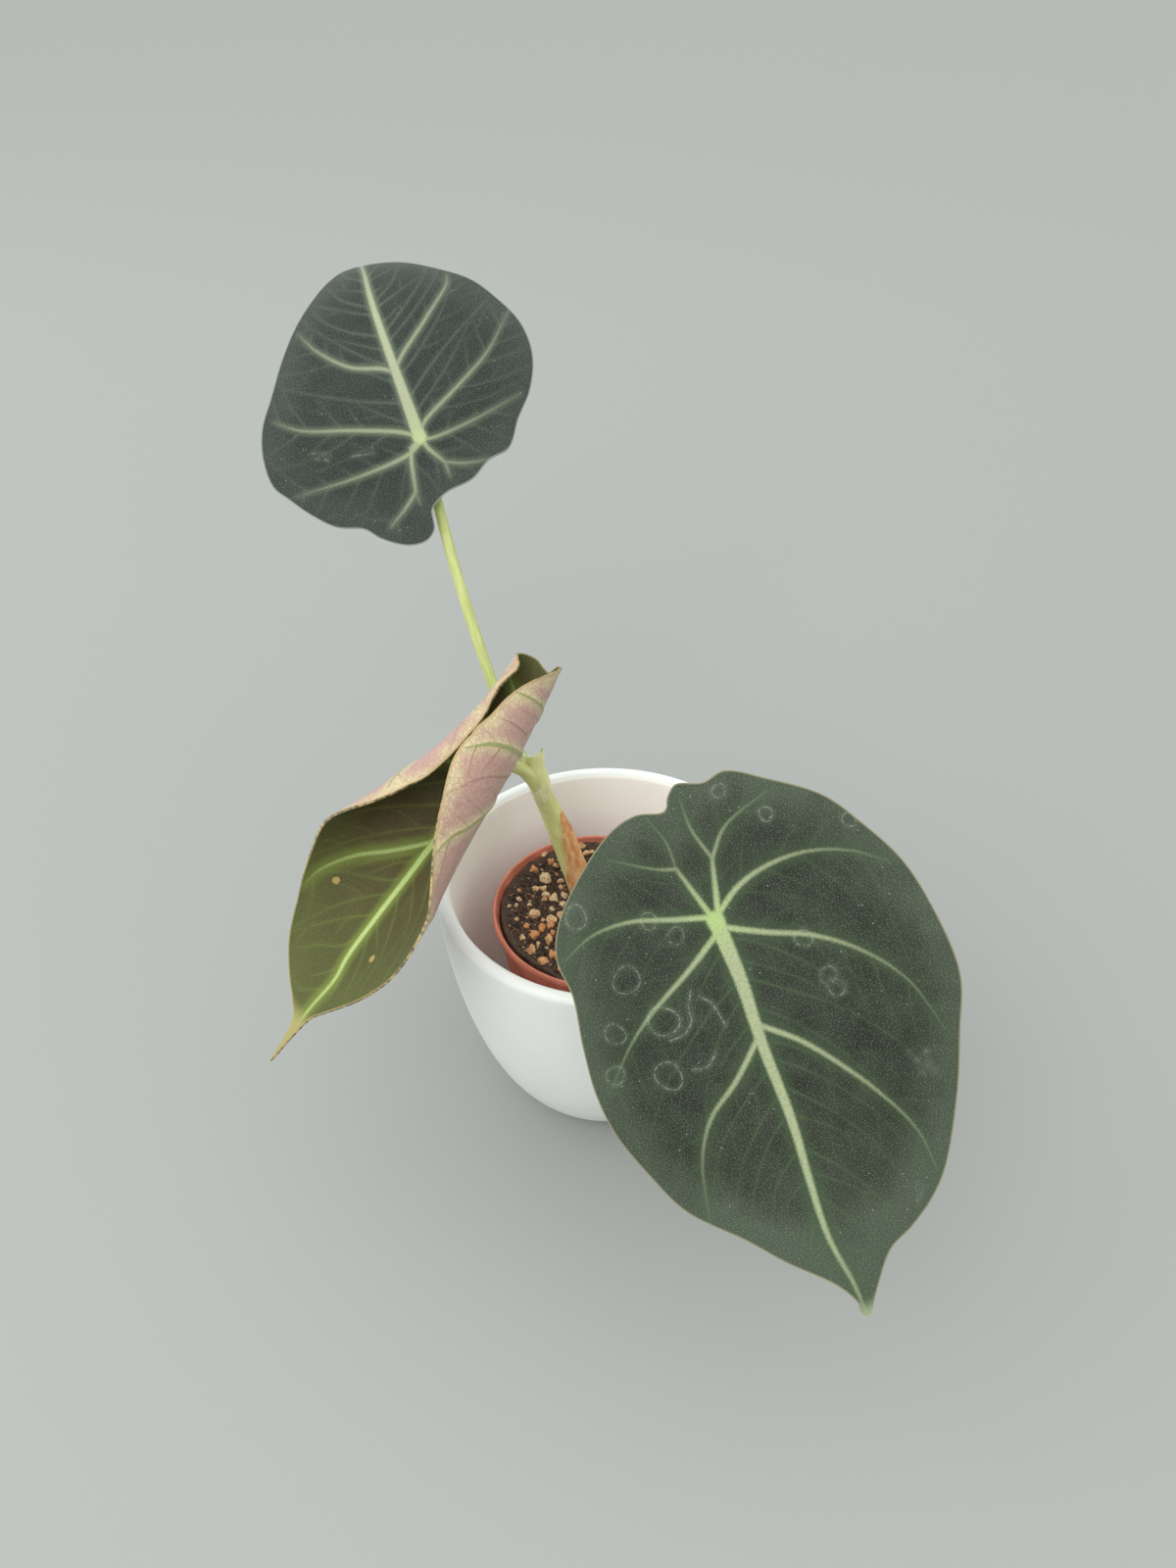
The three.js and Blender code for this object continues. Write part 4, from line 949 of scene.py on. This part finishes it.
def nearest_line(flat, lines, reach):
    """For each flat place, what is nearest: distance with a sign for the side, plain distance, line's value.

    Each line is its points, a value at each and how far the value brings the line nearer. Places more
    than reach away from a line take no notice of it. Where two lines are about as near, the side means
    nothing and NO_SIDE stands in its place."""
    best = np.full(len(flat), float(reach))
    second = best.copy()
    found = np.tile([float(reach), float(reach), 0.0], (len(flat), 1))
    for points, values, thick in lines:
        around = (flat > points.min(axis=0) - reach) & (flat < points.max(axis=0) + reach)
        near = np.flatnonzero(np.all(around, axis=1))
        place = flat[near]
        own = np.full(len(near), float(reach))
        own_found = np.tile([float(reach), float(reach), 0.0], (len(near), 1))
        for a, b, va, vb in zip(points[:-1], points[1:], values[:-1], values[1:]):
            along = b - a
            t = np.clip((place - a) @ along / max(along @ along, 1e-9), 0, 1)
            off = place - a - t[:, None] * along
            far = np.hypot(off[:, 0], off[:, 1])
            value = va + (vb - va) * t
            score = far - thick * value
            nearer = score < own
            side = np.where(along[0] * off[:, 1] - along[1] * off[:, 0] < 0, -far, far)
            own[nearer] = score[nearer]
            own_found[nearer] = np.stack([side, far, value], axis=1)[nearer]
        wins = own < best[near]
        second[near] = np.where(wins, best[near], np.minimum(second[near], own))
        best[near[wins]] = own[wins]
        found[near[wins]] = own_found[wins]
    unsure = second - best < JUNCTION_GAP
    found[unsure, 0] = NO_SIDE
    return found


def veinlets(leaf, rng):
    """Small veins that leave the midrib, then the main veins, then each other, and stop where they meet."""
    outline = through(leaf["outline"], True, 4)
    mains = [through(points, False, 20) for _, _, points in leaf["veins"]]
    laid = np.concatenate([through(points, False, 20) for points in leaf["fine"]])
    drawn = np.concatenate(mains + [laid])
    stride, sway = VEINLET["step"], VEINLET["sway"]
    made = []
    sources = [(mains[0], leaf["spacing"], *OFF_MIDRIB)]
    sources += [(path, *OFF_MAIN) for path in mains[1:]]
    for _ in range(2):
        grown = []
        for path, spacing, angle, strength, most in sources:
            lengths = np.concatenate([[0], np.cumsum(np.linalg.norm(np.diff(path, axis=0), axis=1))])
            for side in (-1, 1):
                place = spacing * rng.uniform(0.5, 1.2)
                while place < lengths[-1] - 1.5:
                    start, before = (np.array([np.interp(d, lengths, path[:, k]) for k in (0, 1)])
                                     for d in (place, place - 0.8))
                    turned_off = math.radians(angle + rng.uniform(-3, 3))
                    heading = math.atan2(*(start - before)[::-1]) + side * turned_off
                    place += spacing * rng.uniform(0.8, 1.25)
                    line = [start]
                    ahead = start + VEINLET["look_ahead"] * np.array([math.cos(heading), math.sin(heading)])
                    if np.hypot(*(laid - ahead).T).min() < VEINLET["clear"]:
                        continue
                    for step in range(most):
                        forwards = math.cos(heading) > -0.4
                        bend = -math.copysign(VEINLET["bend"], math.sin(heading)) if forwards else 0.0
                        heading += math.radians(bend + rng.uniform(-sway, sway))
                        following = line[-1] + stride * np.array([math.cos(heading), math.sin(heading)])
                        if not inside(following, outline):
                            break
                        line.append(following)
                        gap = np.hypot(*(drawn - following).T).min()
                        if step > 1 and gap < VEINLET["stop"]:
                            break
                    if len(line) > 3:
                        line = np.array(line)
                        fade = np.linspace(strength, strength * 0.35, len(line))
                        made.append((line, fade, 0.0))
                        grown.append((line, OFF_SMALL["spacing"], OFF_SMALL["angle"],
                                      OFF_SMALL["strength"] * strength, OFF_SMALL["steps"]))
                        between = (line[1:] + line[:-1]) / 2
                        drawn = np.concatenate([drawn, line, between])
                        laid = np.concatenate([laid, line, between])
        sources = grown
    return made


def inside(point, outline):
    """True for a flat place inside a closed line."""
    x, y = point
    a, b = outline, np.roll(outline, -1, axis=0)
    crosses = ((a[:, 1] > y) != (b[:, 1] > y))
    with np.errstate(divide="ignore", invalid="ignore"):
        reach = a[:, 0] + (y - a[:, 1]) * (b[:, 0] - a[:, 0]) / (b[:, 1] - a[:, 1])
    return bool(np.count_nonzero(crosses & (reach > x)) % 2)


def drop_marks(marks, trails):
    """Uneven rings, with centre, radius and strength each, and trails, as lines on the flat blade."""
    made = [(through(points, False, 6), np.full(6 * len(points) - 5, 0.8), 0.0) for points in trails]
    for u, v, radius, strength in marks:
        turn = np.linspace(0, 2 * math.pi, 25)
        uneven = radius * (1 + 0.08 * np.sin(2 * turn + u) + 0.05 * np.sin(3 * turn + v))
        ring = np.stack([u + uneven * np.cos(turn), v + uneven * np.sin(turn)], axis=1)
        made.append((ring, np.full(len(ring), strength), 0.0))
    return made


def leaf_piece(name, leaf, materials):
    """A blade: its outline drawn flat, bent into shape, given its two faces and raised veins.

    materials are those of the upper face, the lower face and the rim."""
    piece, around, share = grid(*leaf["mesh"])
    mesh = piece.data
    outline = through(leaf["outline"], True, 16)
    closed = np.concatenate([outline, outline[:1]])
    steps = np.linalg.norm(np.diff(closed, axis=0), axis=1)
    at = np.concatenate([[0], np.cumsum(steps + 0.35 * steps.mean())])
    edge = np.stack([np.interp(around * at[-1], at, closed[:, k]) for k in (0, 1)], axis=1)
    flat = edge * share[:, None]
    place = leaf_surface(leaf)
    u, v = flat.T
    upward = np.cross(place(u + 0.05, v) - place(u - 0.05, v), place(u, v + 0.05) - place(u, v - 0.05))
    upward /= np.linalg.norm(upward, axis=1)[:, None]
    upward *= np.sign(upward[np.argmin(np.hypot(u, v))] @ leaf_frame(leaf)[1])
    move_vertices(mesh, place(u, v))
    store(mesh, "middle", "FLOAT_VECTOR", place(u, v))
    store(mesh, "upward", "FLOAT_VECTOR", upward)
    store_uv(mesh, "flat", flat * MM)
    veins = []
    for order, (start, end, points) in enumerate(leaf["veins"]):
        path = through(points, False, 8)
        power = leaf["fade"] if order else 0.6
        veins.append((path, start + (end - start) * np.linspace(0, 1, len(path)) ** power, 1.0))
    fine = []
    for points in leaf["fine"]:
        path = through(points, False, 6)
        fine.append((path, np.linspace(1.0, 0.35, len(path)), 0.0))
    fine += veinlets(leaf, random.Random(leaf["seed"]))
    store(mesh, "vein", "FLOAT_VECTOR", nearest_line(flat, veins, 8))
    store(mesh, "fine", "FLOAT_VECTOR", nearest_line(flat, fine, 3))
    store(mesh, "margin", "FLOAT", nearest_line(flat, [(closed, np.zeros(len(closed)), 0.0)], 15)[:, 1])
    store(mesh, "marks", "FLOAT_VECTOR", nearest_line(flat, drop_marks(leaf["marks"], leaf["trails"]), 3))

    close_up(piece, False)
    middle = Vector(leaf["attachment"]) * MM
    up = Vector(leaf_frame(leaf)[1])
    facing = sum(face.normal.dot(up) for face in mesh.polygons if (face.center - middle).length < 6 * MM)
    if facing < 0:
        mesh.flip_normals()
    for material in materials:
        mesh.materials.append(material)
    thicken(piece, BLADE_THICKNESS, material_offset=1, material_offset_rim=2)
    raise_veins(mesh, leaf["attachment"], leaf["rib"])
    finish_piece(piece, name + "_blade", name, 60)


def raise_veins(mesh, attachment, rib):
    """Swells the veins under the blade, with a boss where the stalk meets it, and dents them above."""
    below = np.zeros(len(mesh.vertices), bool)
    for polygon in mesh.polygons:
        if polygon.material_index == 1:
            below[list(polygon.vertices)] = True
    middle, upward = (attribute_values(mesh, name) for name in ("middle", "upward"))
    _, vein, width = attribute_values(mesh, "vein").T
    _, fine, strength = attribute_values(mesh, "fine").T
    margin = attribute_values(mesh, "margin")
    reach = np.linalg.norm(middle - np.array(attachment), axis=1)
    round_top = np.sqrt(np.clip(1 - (vein / (width + VEIN_FLARE)) ** 2, 0, 1))
    swell = rib * np.clip(width, *VEIN_WIDTHS) * round_top
    swell += THREAD["height"] * np.clip(1 - fine / THREAD["reach"], 0, 1) * strength
    boss = np.clip((BOSS["reach"] - reach) / BOSS["slope"], 0, 1)
    swell = np.maximum(swell, BOSS["height"] * boss ** 2 * (3 - 2 * boss))
    groove = GROOVE["depth"] * np.clip(1 - vein / (width + GROOVE["reach"]), 0, 1)
    quilt = QUILT["height"] * np.clip(vein / QUILT["reach"], 0, 1) * np.clip(margin / QUILT["margin"], 0, 1)
    inner = np.clip(margin / RIM_FADE, 0, 1)
    half = BLADE_THICKNESS / 2
    height = np.where(below, -half - swell * inner, half - groove + quilt * inner)
    move_vertices(mesh, middle + upward * height[:, None])
    for name in ("middle", "upward"):
        mesh.attributes.remove(mesh.attributes[name])


# Stalks
def rings_along(path, radii, around, share, footed=False, tilt=None):
    """Places of a round skin along a path, for vertices at shares of a turn around it and of its length.

    A footed skin starts level, and one with a tilt ends square to that direction."""
    path = np.asarray(path, float)
    lengths = np.linspace(0, 1, len(path))
    middle = np.stack([np.interp(share, lengths, path[:, k]) for k in range(3)], axis=1)
    heading = np.gradient(path, axis=0)
    heading /= np.linalg.norm(heading, axis=1)[:, None]
    if footed:
        lean = np.clip(lengths * 12, 0, 1)[:, None]
        heading = heading * lean + np.array([0, 0, 1.0]) * (1 - lean)
    if tilt is not None:
        lean = np.clip((1 - lengths) * 25, 0, 1)[:, None]
        heading = heading * lean + np.asarray(tilt) * (1 - lean)
    heading = np.stack([np.interp(share, lengths, heading[:, k]) for k in range(3)], axis=1)
    heading /= np.linalg.norm(heading, axis=1)[:, None]
    across = np.cross(heading, np.array([0.0, 1.0, 0.0]))
    across /= np.linalg.norm(across, axis=1)[:, None]
    over = np.cross(heading, across)
    turn = 2 * math.pi * around
    radius = spread(radii, share)
    return middle + across * (radius * np.cos(turn))[:, None] + over * (radius * np.sin(turn))[:, None]


def stalk_mesh(path, radii, columns, rows, footed=False, tilt=None, swell=None):
    """A closed round stalk along a path. swell says how its section departs from a circle."""
    piece, around, share = grid(columns, rows)
    length = np.linalg.norm(np.diff(path, axis=0), axis=1).sum()
    place = rings_along(path, radii, around, share, footed, tilt)
    if swell is not None:
        middle = rings_along(path, [0.0, 0.0], around, share)
        place = middle + (place - middle) * swell(around, share)[:, None]
    move_vertices(piece.data, place)
    girth = 2 * math.pi * max(radii)
    store_uv(piece.data, "skin", np.stack([around * girth, share * length], axis=1) * MM)
    close_up(piece)
    return piece


def leaf_stalk(leaf, stalk, rows, footed=True):
    """The stalk of a leaf, from its foot into the boss under the blade."""
    forward, up, _ = leaf_frame(leaf)
    end = np.array(leaf["attachment"]) - up * (BLADE_THICKNESS / 2 + STALK_INTO_BLADE)
    before = end - up * (STALK_END + HUB_DEPTH) - forward * stalk["tail"]
    path = through([*stalk["points"], before, end], False, 10)

    def grooved(around, share):
        off = (around - CHANNEL["at"]) / CHANNEL["width"]
        flared = 1 + 0.1 * np.clip((share - 0.95) / 0.05, 0, 1)
        return flared * (1 - CHANNEL["depth"] * np.exp(-off ** 2))

    return stalk_mesh(path, stalk["radii"], STALK_SIDES, rows, footed, up, grooved)


def join(pieces):
    """Makes one object of several."""
    bpy.ops.object.select_all(action="DESELECT")
    for piece in pieces:
        piece.select_set(True)
    bpy.context.view_layer.objects.active = pieces[0]
    bpy.ops.object.join()
    return bpy.context.object


def wrapped_sheath():
    """Swollen sheath: one edge laps over the other down its length, so its round is a low spiral."""
    path = through(SHEATH["points"], False, 12)
    lap = SHEATH["lap"]

    def lapped(around, share):
        past = (around - lap["at"] - lap["slant"] * share) % 1.0
        return lap["outer"] - lap["drop"] * past

    return stalk_mesh(path, SHEATH["radii"], *SHEATH["mesh"], True, None, lapped)


def sheath_tip():
    """Free end of the sheath: a channelled tongue whose slanting top rises to a point."""
    piece, across, share = grid(*SHEATH["tongue_mesh"])
    line = np.array(SHEATH["tongue"])
    turns, tops = np.array(SHEATH["tongue_top"]).T
    turn = turns[0] + (turns[-1] - turns[0]) * across
    height = line[0, 2] + (np.interp(turn, turns, tops) - line[0, 2]) * share
    x, y, radius = (np.interp(height, line[:, 2], line[:, k]) for k in (0, 1, 3))
    radius = radius + 0.08 * np.sin(height * 0.9 + across * 5)
    angle = np.radians(turn)
    place = np.stack([x + radius * np.cos(angle), y + radius * np.sin(angle), height], axis=1)
    move_vertices(piece.data, place)
    store_uv(piece.data, "skin", np.stack([across * 8, share * 18], axis=1) * MM)
    thicken(piece, SHEATH["tongue_thickness"])
    return piece


def dry_sheath_piece():
    """Papery shell that half wraps the foot of the stem, crinkled, with a torn edge."""
    piece, across, share = grid(*DRY_SHEATH["mesh"])
    path = through(SHEATH["points"], False, 12)
    rise = SHEATH["points"][-1][2] - SHEATH["points"][0][2]
    reach = share * DRY_SHEATH["height"] / rise
    lengths = np.linspace(0, 1, len(path))
    middle = np.stack([np.interp(reach, lengths, path[:, k]) for k in range(3)], axis=1)
    narrow = share ** 0.8
    torn = 4.0 * np.sin(share * 21) + 2.5 * np.sin(share * 47 + 1)
    first = np.interp(narrow, [0, 1], [DRY_SHEATH["foot"][0], DRY_SHEATH["top"][0]]) + torn
    last = np.interp(narrow, [0, 1], [DRY_SHEATH["foot"][1], DRY_SHEATH["top"][1]]) + torn * 0.7
    turn = np.radians(first + (last - first) * across)
    crinkle = 0.16 * np.sin(across * 23 + share * 5) + 0.1 * np.sin(across * 51 - share * 13)
    radius = spread(SHEATH["radii"], reach) + DRY_SHEATH["gap"] * (0.8 - 0.5 * share) + crinkle
    middle[:, 0] += radius * np.cos(turn)
    middle[:, 1] += radius * np.sin(turn)
    move_vertices(piece.data, middle)
    store_uv(piece.data, "skin", np.stack([across * 14, share * 31], axis=1) * MM)
    thicken(piece, DRY_SHEATH["thickness"])
    paint(piece, papery_sheath())
    finish_piece(piece, "dry_sheath_shell", "dry_sheath")


# Soil
def soil_height(x, y):
    """Height of the soil's surface, lumpy as loose mix is."""
    place = Vector((x, y, 0))
    broad = noise.noise(place * 0.12) * 1.1
    crumbs = noise.turbulence(place * 0.42, 3, False) * 1.2
    bank = SOIL_BANK["height"] * (math.hypot(x - NURSERY_X, y) / SOIL_BANK["radius"]) ** SOIL_BANK["power"]
    return SOIL_TOP - 0.6 + broad + crumbs + bank


def nursery_outside(z):
    """Radius of the nursery pot's outer face below its rim."""
    return NURSERY_POT["base"] + (WALL_TOP - NURSERY_POT["base"]) * (z - NURSERY_Z) / NURSERY_POT["height"]


def nursery_inside(z):
    """Radius of its inner face."""
    return nursery_outside(z) - NURSERY_POT["wall"]


def grain(radius, squash, seed, detail):
    """One broken lump: a ball made uneven by noise. Its vertices are millimetres round its middle."""
    shape = bmesh.new()
    bmesh.ops.create_icosphere(shape, subdivisions=detail, radius=radius)
    shift = Vector((seed * 7.3, seed * 3.1, seed * 1.7))
    for vertex in shape.verts:
        bumps = noise.noise(vertex.co / radius * 0.9 + shift) * 0.7
        bumps += noise.noise(vertex.co / radius * 2.6 + shift) * 0.22
        vertex.co *= 1 + bumps
        vertex.co.x *= squash[0]
        vertex.co.y *= squash[1]
        vertex.co.z *= squash[2]
    return shape


def scatter(lumps, name):
    """One mesh of many lumps: each a shape, a middle, a turn and a stain."""
    whole = bmesh.new()
    stain = whole.verts.layers.float.new("stain")
    for shape, middle, turn, tint in lumps:
        shape.transform(Matrix.Translation(middle) @ turn)
        copies = [whole.verts.new(v.co * MM) for v in shape.verts]
        for vertex in copies:
            vertex[stain] = tint
        shape.verts.index_update()
        for face in shape.faces:
            whole.faces.new([copies[v.index] for v in face.verts])
        shape.free()
    mesh = bpy.data.meshes.new(name)
    whole.to_mesh(mesh)
    whole.free()
    piece = bpy.data.objects.new(name, mesh)
    bpy.context.scene.collection.objects.link(piece)
    return piece


def soil_lumps(rng, count, radii, apart, taken):
    """Places for lumps on the soil, clear of the stalks and of each other."""
    made = []
    tries = 0
    while len(made) < count and tries < 60 * count:
        tries += 1
        radius = rng.uniform(*radii)
        reach = LUMP_REACH * math.sqrt(rng.random())
        turn = rng.uniform(0, 2 * math.pi)
        x, y = NURSERY_X + reach * math.cos(turn), reach * math.sin(turn)
        if any(math.hypot(x - a, y - b) < r + radius for a, b, r in STEM_PLACES):
            continue
        if any(math.hypot(x - a, y - b) < apart * (r + radius) for a, b, r in taken):
            continue
        taken.append((x, y, radius))
        made.append((x, y, radius))
    return made


def random_turn(rng):
    """A turn about the upright axis after one about a level axis."""
    turn = Matrix.Rotation(rng.uniform(0, 2 * math.pi), 4, "Z")
    return turn @ Matrix.Rotation(rng.uniform(0, math.pi), 4, "X")


def soil_bed():
    """The bed of potting mix: a floor, a side and a lumpy top."""
    bed, around, share = grid(*BED_MESH)
    bottom = NURSERY_Z + NURSERY_POT["floor"] + SOIL_GAP
    side_low = nursery_inside(bottom) - SOIL_GAP
    side_high = nursery_inside(SOIL_TOP) - 0.1
    radius = np.interp(share, BED_SECTION, [0, side_low, side_high, 0])
    x = NURSERY_X + radius * np.cos(2 * math.pi * around)
    y = radius * np.sin(2 * math.pi * around)
    z = np.interp(share, BED_SECTION, [bottom, bottom, SOIL_TOP - 1, SOIL_TOP - 1])
    for i in np.flatnonzero(share > BED_SECTION[2] + 0.0001):
        z[i] = soil_height(x[i], y[i])
    move_vertices(bed.data, np.stack([x, y, z], axis=1))
    close_up(bed)
    return bed


def soil_pieces():
    """The bed of potting mix with its loose crumbs, and the pumice grit in it."""
    bed = soil_bed()
    rng = random.Random(5)
    places = [(x, y, r) for x, y, r, _ in PUMICE_SEEN]
    stains = [stain for _, _, _, stain in PUMICE_SEEN]
    more = soil_lumps(rng, PUMICE_MORE, PUMICE_RADII, 1.1, list(places))
    stains += [rng.choice((0.1, 0.3, 0.7, 0.9)) for _ in more]
    places += more
    lumps = []
    for k, ((x, y, r), stain) in enumerate(zip(places, stains)):
        shape = grain(r * 1.05, (1, rng.uniform(0.75, 1), rng.uniform(0.7, 0.95)), k, 3)
        lumps.append((shape, Vector((x, y, soil_height(x, y) + 0.45 * r)), random_turn(rng), stain))
    for k in range(MOTES):
        reach = MOTE_REACH * math.sqrt(rng.random())
        turn = rng.uniform(0, 2 * math.pi)
        x, y = NURSERY_X + reach * math.cos(turn), reach * math.sin(turn)
        shape = grain(rng.uniform(*MOTE_RADII), (1, 0.8, 0.8), k, 1)
        middle = Vector((x, y, soil_height(x, y) + 0.5))
        lumps.append((shape, middle, random_turn(rng), rng.uniform(0, 1)))
    grit = scatter(lumps, "pumice_grit")
    paint(grit, pumice())
    finish_piece(grit, "pumice_grit", "soil", 60)

    crumbs = []
    for k, (x, y, r) in enumerate(soil_lumps(rng, CRUMBS, CRUMB_RADII, 0.55, list(places))):
        shape = grain(r, (1, rng.uniform(0.5, 1), rng.uniform(0.4, 0.8)), k, 2 if r > 0.5 else 1)
        crumbs.append((shape, Vector((x, y, soil_height(x, y) + 0.3 * r)), random_turn(rng), 0.0))
    bed = join([bed, scatter(crumbs, "loose_crumbs")])
    paint(bed, potting_mix())
    finish_piece(bed, "potting_mix_bed", "soil", 60)


# Pots
def turned(profile, segments):
    """A round body: a ring drawn out through a profile's radii and heights, and closed at both ends."""
    radius, height = profile[0]
    bpy.ops.object.select_all(action="DESELECT")
    bpy.ops.mesh.primitive_circle_add(vertices=segments, radius=radius * MM)
    piece = bpy.context.object
    bpy.ops.object.mode_set(mode="EDIT")
    bpy.ops.mesh.select_all(action="SELECT")
    bpy.ops.transform.translate(value=(0, 0, height * MM))
    for wider, higher in profile[1:]:
        bpy.ops.mesh.extrude_region_move(TRANSFORM_OT_translate={"value": (0, 0, (higher - height) * MM)})
        scale = wider / radius
        bpy.ops.transform.resize(value=(scale, scale, 1), center_override=(0, 0, 0))
        radius, height = wider, higher
    bpy.ops.object.mode_set(mode="OBJECT")
    close_up(piece)
    return piece


def cover_pot_piece():
    """Round-bellied cover pot with a thick rounded lip."""
    height, rim, base = COVER_POT["height"], COVER_POT["rim"], COVER_POT["base"]
    wall, floor, bulge = COVER_POT["wall"], COVER_POT["floor"], COVER_POT["bulge"]
    lip = wall / 2

    def outer(z):
        return base + (rim - base) * (1 - (1 - z / height) ** bulge) ** (1 / bulge)

    profile = [(POLE, 0), (base - 1, 0)]
    profile += [(outer(z), z) for z in (height - lip) * np.linspace(0, 1, 40) ** 2]
    profile += [(rim - lip + lip * math.cos(a), height - lip + lip * math.sin(a))
                for a in np.linspace(0, math.pi, 13)[1:]]
    profile += [(outer(z) - wall, z) for z in np.linspace(height - lip, floor + 2, 30)[1:]]
    inner = outer(floor + 2) - wall
    profile += [(inner - 1.2, floor + 0.6), (inner - 3.2, floor), (POLE, floor)]
    pot = turned(profile, COVER_POT_SIDES)
    paint(pot, matt_glaze())
    finish_piece(pot, "cover_pot_body", "cover_pot")


def nursery_pot_piece():
    """Thin plastic pot with a rolled rim and drainage holes."""
    roll = NURSERY_POT["roll"]
    foot = NURSERY_Z
    top = foot + NURSERY_POT["height"] - roll
    profile = [(POLE, foot), (NURSERY_POT["base"] - 0.8, foot), (NURSERY_POT["base"] - 0.2, foot + 0.2)]
    profile += [(nursery_outside(z), z) for z in np.linspace(foot + 0.8, top - roll, 16)]
    profile += [(NURSERY_POT["rim"] + RIM_BAND * (math.cos(a) - 1), top + roll * math.sin(a))
                for a in np.radians(np.linspace(-80, 180, 20))]
    inner_floor = foot + NURSERY_POT["floor"]
    profile += [(nursery_inside(z), z) for z in np.linspace(top - 0.5, inner_floor, 16)]
    profile += [(POLE, inner_floor)]
    pot = turned(profile, NURSERY_POT_SIDES)
    move_vertices(pot.data, coordinates(pot.data) / MM + np.array([NURSERY_X, 0, 0]))
    drills = []
    for k in range(DRAIN_HOLE["count"]):
        turn = math.radians(45) + 2 * math.pi * k / DRAIN_HOLE["count"]
        x = NURSERY_X + DRAIN_HOLE["circle"] * math.cos(turn)
        y = DRAIN_HOLE["circle"] * math.sin(turn)
        bpy.ops.object.select_all(action="DESELECT")
        bpy.ops.mesh.primitive_cylinder_add(vertices=32, radius=DRAIN_HOLE["radius"] * MM,
                                            depth=DRAIN_HOLE["depth"] * MM,
                                            location=Vector((x, y, foot)) * MM)
        drills.append(bpy.context.object)
    cutter = join(drills)
    only(pot)
    drilled = pot.modifiers.new("drainage", "BOOLEAN")
    drilled.operation = "DIFFERENCE"
    drilled.object = cutter
    bpy.ops.object.modifier_apply(modifier="drainage")
    bpy.data.objects.remove(cutter, do_unlink=True)
    paint(pot, red_plastic())
    finish_piece(pot, "nursery_pot_body", "nursery_pot")


# Floor, light and viewpoint
def studio():
    """Viewpoint of the photograph, a pale floor and soft light from all round and above."""
    scene = bpy.context.scene
    scene.view_settings.view_transform = "Standard"
    data = bpy.data.cameras.new("viewpoint")
    data.sensor_fit = "VERTICAL"
    data.sensor_height = CAMERA_SENSOR
    data.sensor_width = CAMERA_SENSOR
    data.lens = CAMERA_LENS
    data.clip_start = 0.01
    data.clip_end = 50.0
    viewpoint = bpy.data.objects.new("viewpoint", data)
    viewpoint.location = Vector(CAMERA_PLACE) * MM
    viewpoint.rotation_euler = (math.radians(90 - CAMERA_BELOW_HORIZON), 0, 0)
    scene.collection.objects.link(viewpoint)
    scene.camera = viewpoint

    world = bpy.data.worlds.new("soft_daylight")
    world.use_nodes = True
    scene.world = world
    tree = world.node_tree
    towards = add(tree, "TexCoord", out="Generated")
    rise = add(tree, "SeparateXYZ", [towards], "Z")
    strength = add(tree, "MapRange", [rise, 0.0, 1.0, SKY_LOW, SKY_HIGH])
    fill(tree, tree.nodes["Background"], {"Color": linear(0xF7F9F8), "Strength": strength})

    bpy.ops.object.select_all(action="DESELECT")
    bpy.ops.mesh.primitive_plane_add(size=FLOOR_SIDE, location=FLOOR_MIDDLE)
    floor = bpy.context.object
    floor.name = "floor"
    material, tree, shader = start_material("pale_board")
    away = add(tree, "SeparateXYZ", [add(tree, "TexCoord", out="Object")], "Y")
    near = add(tree, "MapRange", [away, *SHADE], **EASED)
    fill(tree, shader, {"Base Color": layered(tree, 0x969895, [(0x919491, near)]), "Roughness": 0.85})
    paint(floor, material)

    for name, (place, side, power) in LIGHTS.items():
        lamp = bpy.data.lights.new(name, "AREA")
        lamp.shape = "SQUARE"
        lamp.size = side
        lamp.energy = power
        lit = bpy.data.objects.new(name, lamp)
        lit.location = place
        lit.rotation_euler = (Vector(LIT_POINT) - Vector(place)).to_track_quat("-Z", "Y").to_euler()
        scene.collection.objects.link(lit)


studio()
cover_pot_piece()
nursery_pot_piece()
soil_pieces()

dark_under = leaf_underside(UNDER_DARK)
dark_margin = leaf_margin("dry_leaf_margin", 0x94896A)
young_under = leaf_underside(UNDER_YOUNG)
young_margin = leaf_margin("young_leaf_margin", 0xB09A6C)
leaf_piece("leaf_front", LEAF_FRONT, [velvet_face(VELVET_FRONT), dark_under, dark_margin])
leaf_piece("leaf_upper", LEAF_UPPER, [velvet_face(VELVET_UPPER), dark_under, dark_margin])
leaf_piece("leaf_rolled", LEAF_ROLLED, [velvet_face(VELVET_YOUNG), young_under, young_margin])

stalk_green = stalk_skin("waxy_stalk_skin", 0xBDC384, 0x9CA85B, 0xC6C68F)
sheath_green = stalk_skin("fleshy_sheath_skin", 0xCDCF90, 0xB2B76A, 0xD3C98C)
membrane = stalk_skin("sheath_tip_membrane", 0xD6D6A2, 0xC2C582, 0xCDC98A, SHEATH_TIP_DRY)
for node, leaf, stalk, rows in (
    ("petiole_front", LEAF_FRONT, STALK_FRONT, 90),
    ("petiole_upper", LEAF_UPPER, STALK_UPPER, 130),
):
    piece = leaf_stalk(leaf, stalk, rows)
    paint(piece, stalk_green)
    finish_piece(piece, node + "_stalk", node)
parts = [leaf_stalk(LEAF_ROLLED, STALK_ROLLED, 40, False), wrapped_sheath(), sheath_tip()]
for part, material in zip(parts, (sheath_green, sheath_green, membrane)):
    paint(part, material)
finish_piece(join(parts), "petiole_rolled_stalk", "petiole_rolled")
dry_sheath_piece()

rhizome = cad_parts["rhizome"]
paint(rhizome, rhizome_bark())
